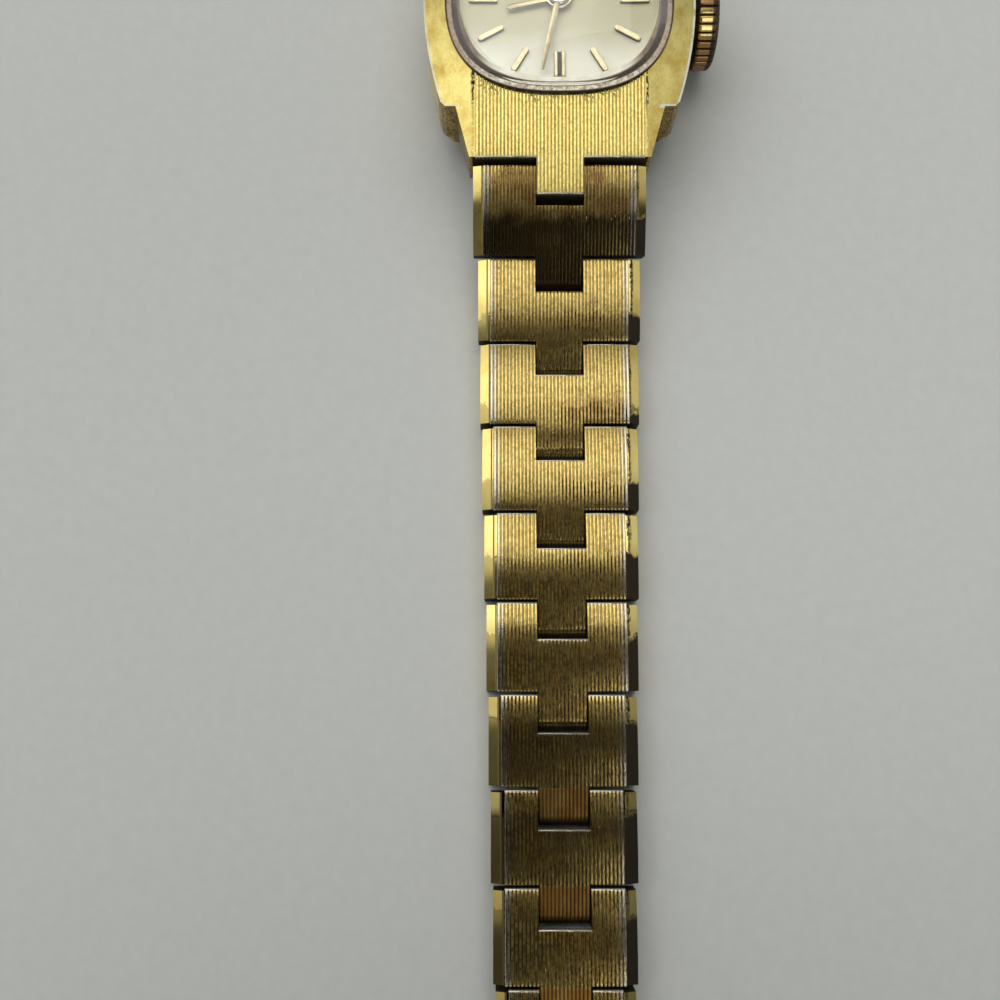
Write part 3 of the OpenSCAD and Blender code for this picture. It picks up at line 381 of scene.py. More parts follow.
        # the walls under the shoulders get painted shade, brown and pitted, and their upper edge is rubbed
        # to the silver
        low = product(tree, rise(tree, normal[2], 0.4, 0.2), rise(tree, sideY, shadedLowWalls, shadedLowWalls + 0.2))
        colour = mixColour(tree, product(tree, low, 0.55), colour, gold["brown"])
        grimeAndShade = largest(tree, grimeAndShade, product(tree, low, rise(tree, grain, 0.44, 0.66, 0.12, 0.9)))
        rim = product(tree, rise(tree, normal[2], 0.92, 0.84), rise(tree, normal[2], 0.30, 0.45),
                      rise(tree, sideX, 5.2, 5.5))
        colour = mixColour(tree, product(tree, rim, 0.9), colour, gold["silver"])
    # grime, and painted shade where the masks below stand in for shadow and dark reflection
    colour = mixColour(tree, grimeAndShade, colour, gold["grimeAndShade"])
    metallic = product(tree, rise(tree, grimeAndShade, 0.2, 0.93, 1.0, 0.0), metallic)
    if rubbedRim is not None:
        bare = product(tree, rubbedRim(tree), rise(tree, normal[2], 0.6, 0.9))
        colour = mixColour(tree, bare, colour, gold["silver"])
        metallic = product(tree, metallic, rise(tree, bare, 0.0, 1.0, 1.0, 0.25))
    if sootAndDarkReflection is not None:
        # grime and painted dark reflection: beyond one point the metal is black, and of the ribs only the
        # crests show
        run = ragged(tree, pastLine(tree, y, sootAndDarkReflection), blotch, 1.6)
        black = rise(tree, run, -0.4, 0.5, 0.0, sootAndDarkReflection[2])
        if ribbed:
            black = product(tree, black, rise(tree, valley, 0.0, 0.3, 0.8, 1.0))
        colour = mixColour(tree, black, colour, gold["grimeAndShade"])
    if well is not None:
        # the ledge under the crystal is dull grey-brown, lighter toward the dial
        inside, tone = well(tree)
        colour = mixColour(tree, inside, colour, tone)
        metallic = product(tree, metallic, calc(tree, "SUBTRACT", 1.0, inside))
    feed(tree, bsdf.inputs["Base Color"], colour)
    feed(tree, bsdf.inputs["Metallic"], metallic)
    level = calc(tree, "ADD", rough, product(tree, grain, 0.06))
    level = calc(tree, "ADD", level, product(tree, largest(tree, grimeAndShade, brown), 0.12))
    level = calc(tree, "ADD", level, rise(tree, grimeAndShade, 0.88, 0.95, 0.0, 0.5))
    feed(tree, bsdf.inputs["Roughness"], level)
    if ribbed:
        hammer = noise(tree, 8, 2, seed + 5, (1, 0.55, 1), 0.6)
        relief = calc(tree, "SUBTRACT", product(tree, hammer, 0.9), product(tree, grimeAndShade, 0.5))
    else:
        scratch = noise(tree, 4, 3, seed + 5, (1, 0.06, 1))
        relief = calc(tree, "SUBTRACT", product(tree, scratch, 0.25), grimeAndShade)
    if lean:
        # the top is worn a little lower toward its outer end, which turns its gleam
        relief = calc(tree, "ADD", relief, product(tree, y, reliefSlope(lean)))
    if outward is not None:
        # beyond this X the surface falls outward
        startX, angle = outward
        fall = product(tree, largest(tree, sideX, startX), reliefSlope(angle))
        relief = calc(tree, "SUBTRACT", relief, fall)
    bump(tree, bsdf, relief, gold["bumpDepth"], gold["bumpStrength"])
    return material


def brushedMetal(name, colour, rough, stretch, seed, dull):
    material, tree, bsdf = startMaterial(name)
    hair = noise(tree, 9, 4, seed, stretch, 0.6)
    haze = noise(tree, 0.6, 4, seed + 2)
    pit = rise(tree, noise(tree, 3.5, 2, seed + 4), 0.66, 0.76)
    shade = tuple(c * d for c, d in zip(colour, dull))
    base = mixColour(tree, rise(tree, hair, 0.3, 0.75), colour, shade)
    base = mixColour(tree, product(tree, rise(tree, haze, 0.5, 0.75), 0.35), base, shade)
    base = mixColour(tree, product(tree, pit, 0.3), base, (0.05, 0.04, 0.03))
    feed(tree, bsdf.inputs["Base Color"], base)
    bsdf.inputs["Metallic"].default_value = 1.0
    feed(tree, bsdf.inputs["Roughness"], calc(tree, "ADD", rough, product(tree, haze, 0.15)))
    bump(tree, bsdf, hair, 0.004, 0.5)
    return material


# links of the bracelet

link = {
    "top": 1.1,            # height of a link's crown above its pin
    "crownR": 14.0,
    "north": 1.0,
    "eave": 0.07,          # the ribs reach this much further toward the case
    "otherEave": {1: 0.35, 2: -0.03, 3: -0.03},    # or this much, link by link
    "south": -3.47,
    "endSouth": -2.2,      # the shells of the ladder and of the clasp end here
    "pitch": 4.8,
    "knuckleR": 0.66,
    "tongueW": 2.55,
    "notchHalf": 1.335,
    "notchSouth": -0.85,
    "edgeW": 0.54,
    "ribRise": 0.052,
    "ribSunk": 0.012,
    "lip": 0.02,
    # how brown each link is, from the case outward, and which tongues are stained
    "tarnish": [0.68, 0.34, 0.38, 0.24, 0.28, 0.45, 0.46, 0.46, 0.44, 0.46, 0.50],
    "stained": [7, 8, 9, 10],
    "stainReach": 4.45,    # from the pin to the middle of the stain
    "lean": {1: 5.5, 4: 0.8, 5: 2.6, 6: 5.2, 7: 6.0, 8: 5.0},    # degrees that turn each top's gleam
    # painted dark reflection: the strips beside the ribs are black beyond this place, counted from the pin;
    # outward is minus
    "darkReflectionFrom": [-1.6, -2.2, -2.6, -2.0, -1.2, -0.6, -0.2, 0.0, -0.2, -0.6],
    "sootAndDarkReflection": {1: 0.88, 7: 0.42, 8: 0.34},    # how black the ribs are beyond the same place: grime and painted dark reflection
    "sideDarkReflection": {7: 0.35, 8: 0.62, 9: 0.66, 10: 0.66},    # painted dark reflection: how dark the whole strips are
    "wornLitEdgeWidth": 0.09,      # width of the pale edges: wear and painted highlight
    "tipShadeFrom": 0.42,       # painted shade: the tongue is dark from this far beyond the next pin
}


def crownZ(y):
    middle = (link["north"] + link["south"]) / 2
    return link["top"] - link["crownR"] + math.sqrt(link["crownR"] ** 2 - (y - middle) ** 2)


def ribStrip(x, width, path, clipLow=None, clipHigh=None):
    # one rib: two flanks and a narrow top, each with its own edge; path holds (y, z, ny, nz)
    outline = [(-0.5, 0.0), (-0.24, 1.0), (0.24, 1.0), (0.5, 0.0)]
    parts = []
    for (u0, h0), (u1, h1) in zip(outline, outline[1:]):
        verts, faces = [], []
        for y, z, ny, nz in path:
            for u, h in ((u0, h0), (u1, h1)):
                px = x + u * width
                if clipLow is not None:
                    px = max(px, clipLow)
                if clipHigh is not None:
                    px = min(px, clipHigh)
                lift = -link["ribSunk"] + h * (link["ribRise"] + link["ribSunk"])
                verts.append((px, y + ny * lift, z + nz * lift))
        for i in range(len(path) - 1):
            a = 2 * i
            faces.append((a, a + 2, a + 3, a + 1))
        parts.append((verts, faces))
    return joinParts(parts)


def smoothPath(points):
    # (y, z) points gain the normals that rise from the surface; the path runs toward -Y
    path = []
    for i, (y, z) in enumerate(points):
        y0, z0 = points[max(i - 1, 0)]
        y1, z1 = points[min(i + 1, len(points) - 1)]
        dy, dz = y1 - y0, z1 - z0
        size = math.hypot(dy, dz)
        path.append((y, z, dz / size, -dy / size))
    return path


def crownPoints(fromY, toY, height, steps=14, rollEnd=True):
    # a path over the top, with a small roll down at its ends
    lip = link["lip"]
    points = [(fromY + lip, height(fromY) - 0.16), (fromY + lip, height(fromY) - 0.03),
              (fromY + lip * 0.4, height(fromY) - 0.008)]
    first = fromY - 0.06
    last = toY + 0.06 if rollEnd else toY
    for i in range(steps + 1):
        y = first + (last - first) * i / steps
        points.append((y, height(y)))
    if rollEnd:
        points += [(toY - lip * 0.4, height(toY) - 0.008), (toY - lip, height(toY) - 0.03),
                   (toY - lip, height(toY) - 0.16)]
    return points


def tonguePoints(start):
    points = crownPoints(start, -link["pitch"] + 0.35, crownZ, rollEnd=False)
    r = link["knuckleR"]
    for degrees in (92, 106, 120, 134, 148, 160, 171, 182):
        a = math.radians(degrees)
        points.append((-link["pitch"] + r * math.cos(a), r * math.sin(a)))
    return points


def edgeBar(x0, x1, edgeY, height, toward=1):
    # a smooth lip in which the ribs end
    outline = [(0.045, -0.16), (0.045, 0.0), (0.03, 0.042), (0.0, 0.056), (-0.04, 0.054), (-0.055, 0.0)]
    z = height(edgeY)
    verts = []
    for x in (x0, x1):
        verts += [(x, edgeY + toward * dy, z + dz) for dy, dz in outline]
    count = len(outline)
    faces = [tuple(range(count)), tuple(range(2 * count - 1, count - 1, -1))]
    for i in range(count - 1):
        faces.append((i, count + i, count + i + 1, i + 1))
    return verts, faces


def linkRibs(width, south, withTongue, eave):
    parts = []
    pitch = gold["ribPitch"]
    flat = width / 2 - link["edgeW"]
    most = int((flat + 0.03) / pitch - 0.5)
    wing = smoothPath(crownPoints(link["north"] + eave, south, crownZ))
    if withTongue:
        middle = smoothPath(tonguePoints(link["notchSouth"]))
    else:
        middle = smoothPath(crownPoints(link["notchSouth"], south, crownZ, 6))
    inner = int(link["tongueW"] / 2 / pitch)
    body = smoothPath(crownPoints(link["notchSouth"], south, crownZ, 10))
    for k in range(-most, most + 1):
        x = k * pitch
        if abs(k) <= inner:
            parts.append(ribStrip(x, pitch, middle))
        elif abs(k) == inner + 1:
            half = link["notchHalf"]
            low, high = (half, None) if k > 0 else (None, -half)
            parts.append(ribStrip(x, pitch, wing, low, high))
            low, high = (None, half) if k > 0 else (-half, None)
            parts.append(ribStrip(x, pitch, body, low, high))
        else:
            parts.append(ribStrip(x, pitch, wing))
    half = link["notchHalf"]
    outer = (most + 0.5) * pitch
    northY = link["north"] + eave
    parts.append(edgeBar(-outer, -half, northY, crownZ))
    parts.append(edgeBar(half, outer, northY, crownZ))
    parts.append(edgeBar(-half, half, link["notchSouth"], crownZ))
    return joinParts(parts)


def pinPlace(side, i):
    joint = joints.get(f"{side}_fold_{i}")
    if joint is None:
        joint = joints["ladder_fold" if side == "six" else "clasp_fold"]
    y, z = joint["pos_m"][1] / mm, joint["pos_m"][2] / mm
    return -abs(y), z


def linkMatrix(side, i, last):
    y, z = pinPlace(side, i)
    slope = 0.0
    if i < last:
        nextY, nextZ = pinPlace(side, i + 1)
        slope = math.atan2(z - nextZ, y - nextY)
    turn = Matrix.Rotation(math.pi, 4, "Z") if side == "twelve" else Matrix.Identity(4)
    return turn @ Matrix.Translation((0, y, z)) @ Matrix.Rotation(slope, 4, "X")


def dressLinks(side, count, endNode, endBody):
    for i in range(1, count + 2):
        isEnd = i == count + 1
        node = endNode if isEnd else f"{side}_link_{i}"
        body = endBody if isEnd else f"{side}_{i}"
        low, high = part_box(node)
        matrix = linkMatrix(side, i, count + 1)
        width = (high.x - low.x) / mm
        tarnish = link["tarnish"][i - 1]
        seed = i * 1.7 + (0 if side == "six" else 23)
        pinY = matrix.translation.y
        away = -1 if side == "six" else 1
        stain = pinY + away * link["stainReach"] if i in link["stained"] else None
        south = link["endSouth"] if isEnd else link["south"]
        eave = link["otherEave"].get(i, link["eave"])
        lean = -away * link["lean"].get(i, 0.0)
        half = link["notchHalf"]
        # pale lines along the edges: wear and a painted highlight
        wornLitEdges = [(pinY - away * (link["north"] + eave - 0.01), link["wornLitEdgeWidth"], half, width),
                 (pinY - away * (link["notchSouth"] - 0.01), link["wornLitEdgeWidth"], 0, half + 0.04)]
        tip = darkReflectionEnd = sootAndDarkReflection = sideDarkReflection = None
        if not isEnd:
            # painted shade on the tongue's tip
            tip = (pinY + away * (link["pitch"] + link["tipShadeFrom"]), away)
            # painted dark reflection toward the strips' outer end
            darkReflectionEnd = (pinY - away * link["darkReflectionFrom"][i - 1], away)
        # grime and painted dark reflection on the ribs and the strips
        if i in link["sootAndDarkReflection"]:
            sootAndDarkReflection = (*darkReflectionEnd, link["sootAndDarkReflection"][i])
        if i in link["sideDarkReflection"]:
            sideDarkReflection = (pinY - away * link["pitch"], away, link["sideDarkReflection"][i])
        skin = wornGold(f"{node}Ribs", seed, tarnish, "ribs", 0.17, stainY=stain, wornLitEdges=wornLitEdges,
                        sidesX=width / 2 - link["edgeW"], tip=tip, lean=lean, sootAndDarkReflection=sootAndDarkReflection)
        shell = wornGold(f"{node}Shell", seed + 40, tarnish * 0.5, "strips", 0.07, sootAndDarkReflection=sideDarkReflection,
                         seamX=width / 2 - link["edgeW"] * 0.92, lean=lean, notchShadeX=half + 0.12,
                         darkReflectionEnd=darkReflectionEnd)
        dressNode(node, shell)
        ribs = moved(linkRibs(width, south, not isEnd, eave), matrix)
        makePiece(f"{node}_ribs", *ribs, skin, body, "gold_case")


dressLinks("six", 10, "ladder_end", "ladder")
dressLinks("twelve", 9, "clasp_base", "clasp")
print("links dressed")


# case

case = {
    "top": 5.5,
    "crownR": 50.0,
    "width": 15.0,
    "sideR": 21.0,
    "shoulderY": 6.6,
    "bandHalf": 4.66,      # half the width of the ribbed band
    "hoodY": 9.35,
    "tongueReach": 11.29,
    "crystalW": 12.56,
    "crystalL": 11.84,
    "crystalN": 2.6,       # how square its outline is
    "tarnish": 0.16,
    "flankSlope": 7.0,     # degrees that the flanks seem to fall outward
    # the ledge round the dial: two tones each of its brown and its pale ring, and the line between
    "ledgeBrown": ((0.16, 0.115, 0.075), (0.28, 0.21, 0.14)),
    "ledgePale": ((0.92, 0.90, 0.78), (0.74, 0.70, 0.56)),
    "ledgeLine": (0.05, 0.035, 0.02),
}


def caseZ(y):
    return case["top"] - case["crownR"] + math.sqrt(case["crownR"] ** 2 - y * y)


def crystalEdge(x):
    half = case["crystalW"] / 2 + 0.06
    rest = 1 - (abs(x) / half) ** case["crystalN"]
    return (case["crystalL"] / 2 + 0.06) * rest ** (1 / case["crystalN"])


def squareness(tree, x, y):
    # 1 on the crystal's outline, less inside it
    power = case["crystalN"]
    across = calc(tree, "POWER", calc(tree, "DIVIDE", absolute(tree, x), case["crystalW"] / 2), power)
    along = calc(tree, "POWER", calc(tree, "DIVIDE", absolute(tree, y), case["crystalL"] / 2), power)
    return calc(tree, "POWER", calc(tree, "ADD", across, along), 1 / power)


def caseWell(tree):
    x, y, z = axes(tree)
    ring = squareness(tree, x, y)
    inside = rise(tree, ring, 1.012, 1.0)
    smear = rise(tree, noise(tree, 1.4, 3, 31.0), 0.3, 0.7)
    ends = rise(tree, absolute(tree, y), 3.4, 4.6)
    brown = mixColour(tree, smear, *case["ledgeBrown"])
    pale = mixColour(tree, smear, *case["ledgePale"])
    tone = mixColour(tree, rise(tree, ring, 0.845, 0.825), brown, pale)
    tone = mixColour(tree, product(tree, ends, rise(tree, ring, 0.88, 0.86)), tone, pale)
    tone = mixColour(tree, rise(tree, ring, 0.865, 0.89), tone, case["ledgeLine"])
    return inside, tone


def caseRim(tree):
    # the flanks' outer edge and their shoulders, more on the crown's side
    x, y, z = axes(tree)
    sideX, sideY = absolute(tree, x), absolute(tree, y)
    far = radiusOf(tree, calc(tree, "ADD", sideX, case["sideR"] - case["width"] / 2), y)
    edge = product(tree, rise(tree, far, case["sideR"] - 0.15, case["sideR"] - 0.08),
                   rise(tree, sideY, case["shoulderY"] + 0.04, case["shoulderY"]))
    ledge = product(tree, rise(tree, distanceFrom(tree, sideY, case["shoulderY"]), 0.13, 0.06),
                    rise(tree, sideX, 5.3, 5.5))
    wear = noise(tree, 1.6, 3, 61.0)
    return product(tree, largest(tree, edge, ledge), rise(tree, wear, 0.34, 0.50, 0.35, 0.95),
                   rise(tree, x, -0.1, 0.1, 0.55, 1.0))


def besideCrystal(tree):
    # grime gathers in the ribs next to the crystal
    x, y, z = axes(tree)
    return rise(tree, squareness(tree, x, y), 1.17, 1.03, 0.0, 0.75)


def caseBand():
    parts = []
    pitch = gold["ribPitch"]
    most = int(case["bandHalf"] / pitch - 0.5)
    inner = int(link["tongueW"] / 2 / pitch)
    for k in range(-most, most + 1):
        x = k * pitch
        start = crystalEdge(x)
        end = case["tongueReach"] if abs(k) <= inner else case["hoodY"]
        parts.append(ribStrip(x, pitch, smoothPath(crownPoints(-start, -end, caseZ))))
    half = (inner + 0.5) * pitch
    outer = (most + 0.5) * pitch
    hood, tongue = case["hoodY"], case["tongueReach"]
    for x0, x1, reach in ((-outer, -half, hood), (half, outer, hood), (-half, half, tongue)):
        parts.append(edgeBar(x0, x1, -reach, caseZ, -1))
    return joinParts(parts)


def dressCase():
    flankX = case["bandHalf"] + 0.1
    # painted shade on the end walls under the band and on the walls under the shoulders
    metal = wornGold("caseGold", 51.0, case["tarnish"], "flanks", 0.24, seamX=case["bandHalf"] + 0.09,
                     seamLong=False, wallShadeTo=flankX, shadedLowWalls=5.7, outward=(flankX, case["flankSlope"]),
                     well=caseWell, rubbedRim=caseRim)
    dressNode("case", metal)
    half = link["tongueW"] / 2
    # pale lines along the band's ends: wear and a painted highlight
    wornLitEdges = []
    for away in (-1, 1):
        wornLitEdges += [(away * case["hoodY"], 0.08, half, 6), (away * case["tongueReach"], 0.08, 0, half)]
    bandMetal = wornGold("caseBandGold", 57.0, case["tarnish"], "band", 0.2, wornLitEdges=wornLitEdges,
                         grime=besideCrystal)
    turn = Matrix.Rotation(math.pi, 4, "Z")
    makePiece("south_band", *caseBand(), bandMetal, "case_body", "gold_case")
    makePiece("north_band", *moved(caseBand(), turn), bandMetal, "case_body", "gold_case")


dressCase()
print("case dressed")


# crown

crown = {
    "radius": 2.6,
    "stemZ": 2.8,
    "ridges": 35,
    "depth": 0.17,
    "innerEnd": 7.80,      # places along X: the shaded inner end, the cap's edge and the grooves' end
    "capEdge": 8.46,
    "groovesEnd": 8.95,
    "bright": (0.97, 0.78, 0.36),
    "deep": (0.80, 0.56, 0.20),
    "brown": (0.22, 0.10, 0.04),
    "grimeAndShade": (0.03, 0.012, 0.005),
    # (distance along the stem, loss of radius, share of the ridges' depth)
    "rings": [(0.35, 2.0, 0), (0.0, 1.9, 0), (0.0, 0.35, 0), (0.0, 0.16, 1), (0.05, 0.05, 1), (0.14, 0.0, 1),
              (0.17, 0.0, 1), (0.90, 0.0, 1), (0.93, 0.005, 1), (1.02, 0.05, 1), (1.12, 0.16, 0.9),
              (1.18, 0.34, 0.5), (1.21, 0.5, 0.0), (1.25, 0.9, 0), (1.32, 1.4, 0), (1.36, 1.9, 0),
              (1.38, 2.3, 0)],
}


def crownMesh():
    x0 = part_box("crown")[0].x / mm
    radius, depth = crown["radius"], crown["depth"]
    perRidge = 12
    steps = crown["ridges"] * perRidge
    rings = crown["rings"]
    verts = []
    for along, loss, share in rings:
        for s in range(steps):
            a = 2 * math.pi * s / steps
            ridge = 0.5 - 0.5 * math.cos(2 * math.pi * s / perRidge)
            r = radius - loss - depth * share * ridge ** 7
            verts.append((x0 + along, r * math.sin(a), crown["stemZ"] + r * math.cos(a)))
    faces = tube(len(rings), steps)
    verts.append((x0 + rings[-1][0], 0, crown["stemZ"]))
    tip = len(verts) - 1
    last = tip - steps
    for s in range(steps):
        faces.append((last + s, last + (s + 1) % steps, tip))
    return verts, faces


def crownGold():
    material, tree, bsdf = startMaterial("crownGold")
    x, y, z = axes(tree)
    # how far a point stands from the stem's line tells ridge from groove
    high = calc(tree, "SUBTRACT", z, crown["stemZ"])
    far = radiusOf(tree, y, high)
    inner, cap, last = crown["innerEnd"], crown["capEdge"], crown["groovesEnd"]
    groove = rise(tree, far, crown["radius"] - 0.02, crown["radius"] - 0.10)
    groove = product(tree, groove, rise(tree, x, last, last - 0.15))
    # painted shadow: the inner end and the cap's rounded edge are darkened
    ends = largest(tree, rise(tree, x, inner, inner - 0.12),
                   product(tree, rise(tree, x, cap, cap + 0.10), rise(tree, far, 2.0, 2.2)))
    grain = noise(tree, 7, 3, 4.0)
    colour = mixColour(tree, rise(tree, grain, 0.3, 0.7), crown["bright"], crown["deep"])
    # painted shade: copper-brown on all ridges but those facing up and a little south, which keep their
    # bright tone
    along = calc(tree, "SUBTRACT", product(tree, high, 0.81), product(tree, y, 0.59))
    sides = rise(tree, calc(tree, "DIVIDE", along, far), 0.985, 0.94, 0.0, 0.85)
    sides = product(tree, sides, rise(tree, x, last - 0.05, last - 0.20))
    colour = mixColour(tree, sides, colour, crown["brown"])
    # grime in the grooves, painted shadow at both ends
    grimeAndShade = product(tree, largest(tree, groove, ends), rise(tree, grain, 0.25, 0.55, 0.75, 0.97))
    feed(tree, bsdf.inputs["Base Color"], mixColour(tree, grimeAndShade, colour, crown["grimeAndShade"]))
    feed(tree, bsdf.inputs["Metallic"], rise(tree, grimeAndShade, 0.3, 1.0, 1.0, 0.3))
    feed(tree, bsdf.inputs["Roughness"], calc(tree, "ADD", 0.16, product(tree, grimeAndShade, 0.4)))
    bump(tree, bsdf, grain, 0.006, 0.5)
    return material


knurledCrown = makePiece("knurled_crown", *crownMesh(), crownGold(), "crown_head", "gold_case")
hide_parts("crown")
print("crown made")


# crystal

crystal = {
    "glass": (0.98, 0.985, 0.97, 1),
    "ior": 1.49,
    # the worn wall round it
    "chalk": (0.96, 0.89, 0.70),
    "stain": (0.38, 0.28, 0.17),
    "sideChalk": (0.42, 0.31, 0.21),
    "seam": (0.06, 0.035, 0.02),
}


def crystalGlass():
    material, tree, bsdf = startMaterial("crystalGlass")
    x, y, z = axes(tree)
    ring = squareness(tree, x, y)
    rim = product(tree, rise(tree, ring, 0.945, 0.957), rise(tree, z, case["top"], case["top"] - 0.12))
    wear = noise(tree, 3.5, 4, 2.0, (1, 1, 1), 0.7)
    chalk = product(tree, rim, rise(tree, wear, 0.25, 0.55, 0.6, 1.0))
    bsdf.inputs["Base Color"].default_value = crystal["glass"]
    bsdf.inputs["Roughness"].default_value = 0.03
    bsdf.inputs["IOR"].default_value = crystal["ior"]
    bsdf.inputs["Transmission Weight"].default_value = 1.0
    scratch = noise(tree, 2.5, 4, 6.0, (1, 0.15, 1), 0.7)
    bump(tree, bsdf, scratch, 0.002, 0.35)
    worn = tree.nodes.new("ShaderNodeBsdfPrincipled")
    tone = mixColour(tree, rise(tree, wear, 0.35, 0.65), crystal["stain"], crystal["chalk"])
    sides = rise(tree, absolute(tree, x), 3.6, 5.6, 0.0, 0.8)
    tone = mixColour(tree, sides, tone, crystal["sideChalk"])
    tone = mixColour(tree, rise(tree, ring, 0.986, 0.996), tone, crystal["seam"])
    feed(tree, worn.inputs["Base Color"], tone)
    worn.inputs["Roughness"].default_value = 0.45
    # lamps shine straight through
    clear = tree.nodes.new("ShaderNodeBsdfTransparent")
    rays = tree.nodes.new("ShaderNodeLightPath")
    lampRays = tree.nodes.new("ShaderNodeMixShader")
    tree.links.new(rays.outputs["Is Shadow Ray"], lampRays.inputs[0])
    tree.links.new(bsdf.outputs[0], lampRays.inputs[1])
    tree.links.new(clear.outputs[0], lampRays.inputs[2])
    mixed = tree.nodes.new("ShaderNodeMixShader")
    tree.links.new(chalk, mixed.inputs[0])
    tree.links.new(lampRays.outputs[0], mixed.inputs[1])
    tree.links.new(worn.outputs[0], mixed.inputs[2])
    output = next(n for n in tree.nodes if n.type == "OUTPUT_MATERIAL")
    tree.links.new(mixed.outputs[0], output.inputs[0])
    return material


dressNode("crystal", crystalGlass())
print("crystal dressed")


# dial, batons and hands

dial = {
    "top": 4.7,
    "silver": (0.525, 0.485, 0.295),
    "aged": (0.47, 0.43, 0.26),
    "brushed": (0.46, 0.44, 0.34),
    "grainy": (0.42, 0.40, 0.29),
    # painted light toward the rim
    "rim": (0.86, 0.84, 0.71),
    "spots": (0.30, 0.27, 0.18),
    "batonGold": (0.66, 0.58, 0.36),
    "handGilt": (0.76, 0.63, 0.36),
    "bossCopper": (0.72, 0.36, 0.16),
    "bossRing": (0.92, 0.84, 0.66),
    "shade": (0.10, 0.085, 0.05),    # painted shade on the side walls of batons and hands
    "inlay": ((0.012, 0.012, 0.012), (0.045, 0.04, 0.035)),
    "batonIn": 3.48,
    "batonLong": 1.58,
    "batonWide": 0.32,
    "doubleWide": 0.6,
    "batonHigh": 0.15,
    "hourAngle": 30 * (8 + 32 / 60),    # the hands stand at 8:32
    "minuteAngle": 6 * 32,
    "hourZ": 4.93,
    "minuteZ": 5.11,
    # reach, tail, width at the root and the tip, thickness, height of the ridge
    "hourBlade": (2.95, 0.85, 0.36, 0.29, 0.09, 0.085),
    "minuteBlade": (4.6, 0.8, 0.28, 0.2, 0.09, 0.088),
    # (radius, height) of the rings and the cap on the centre
    "hourBoss": [(0.56, 0.0), (0.75, 0.0), (0.75, 0.05), (0.70, 0.09), (0.62, 0.09), (0.57, 0.05)],
    "minuteBoss": [(0.36, 0.0), (0.63, 0.0), (0.63, 0.05), (0.58, 0.095), (0.45, 0.115), (0.36, 0.115)],
    "cap": [(0.40, 0.07), (0.40, 0.12), (0.34, 0.16), (0.18, 0.19), (0.001, 0.195)],
}


def dialSilver():
    material, tree, bsdf = startMaterial("dialSilver")
    x, y, z = axes(tree)
    hair = noise(tree, 10, 3, 3.0, (1, 0.03, 1), 0.6)
    fine = noise(tree, 14, 2, 5.0)
    haze = noise(tree, 0.35, 3, 8.0)
    spot = rise(tree, noise(tree, 2.2, 3, 12.0), 0.70, 0.78)
    colour = mixColour(tree, rise(tree, haze, 0.35, 0.75), dial["silver"], dial["aged"])
    colour = mixColour(tree, product(tree, rise(tree, hair, 0.4, 0.7), 0.35), colour, dial["brushed"])
    colour = mixColour(tree, rise(tree, fine, 0.45, 0.7, 0.0, 0.35), colour, dial["grainy"])
    # painted light: brighter toward the rim at both ends
    colour = mixColour(tree, rise(tree, absolute(tree, y), 1.2, 4.4, 0.0, 0.9), colour, dial["rim"])
    colour = mixColour(tree, product(tree, spot, 0.35), colour, dial["spots"])
    feed(tree, bsdf.inputs["Base Color"], colour)
    bsdf.inputs["Metallic"].default_value = 0.15
    bsdf.inputs["Roughness"].default_value = 0.5
    bump(tree, bsdf, hair, 0.006, 0.5)
    return material


def handGold(name, rough, wallShadeTone=None):
    material, tree, bsdf = startMaterial(name)
    colour = dial[name]
    cloud = noise(tree, 2.5, 3, 5.0)
    tone = mixColour(tree, rise(tree, cloud, 0.35, 0.7), colour, tuple(c * 0.72 for c in colour))
    # painted shade on the side walls
    if wallShadeTone is not None:
        tone = mixColour(tree, rise(tree, facing(tree)[2], 0.75, 0.4), tone, wallShadeTone)
    feed(tree, bsdf.inputs["Base Color"], tone)
    bsdf.inputs["Metallic"].default_value = 1.0
    feed(tree, bsdf.inputs["Roughness"], calc(tree, "ADD", rough, product(tree, cloud, 0.12)))
    bump(tree, bsdf, cloud, 0.004, 0.4)
    return material


def handBlade(reach, tail, rootW, tipW, thick, ridge):
    # a blade with a ridge along its back
    stations = [(-tail, rootW * 0.8), (-tail + 0.08, rootW), (reach * 0.25, rootW),
                (reach - tipW * 0.5, tipW), (reach, tipW * 0.35)]
    verts = []
    edge = thick * 0.45
    for y, w in stations:
        back = ridge if y < reach else edge * 1.5
        verts += [(-w / 2, y, 0), (-w / 2, y, edge), (0, y, back), (w / 2, y, edge), (w / 2, y, 0)]
    end = len(verts)
    return verts, tube(len(stations), 5) + [(0, 1, 2, 3, 4), tuple(range(end - 1, end - 6, -1))]


def roundedBar(start, length, width, height, offset=0.0, cut=0.03, steps=8):
    # a flat bar along X with round ends and a slight bevel
    verts = []
    for z, loss in ((0.0, 0.0), (height - cut, 0.0), (height, cut)):
        r = width / 2 - loss
        for centre, first in ((start + length - width / 2, -90), (start + width / 2, 90)):
            for i in range(steps + 1):
                a = math.radians(first + 180 * i / steps)
                verts.append((centre + r * math.cos(a), offset + r * math.sin(a), dial["top"] + z))
    count = 2 * (steps + 1)
    ends = [tuple(range(2 * count, 3 * count)), tuple(range(count - 1, -1, -1))]
    return verts, tube(3, count) + ends


def batonStart(hour):
    # the double batons start further in: those at three and nine a little less than the others
    return dial["batonIn"] - (0.31 if hour % 6 == 3 else 0.15 if hour % 6 == 0 else 0)


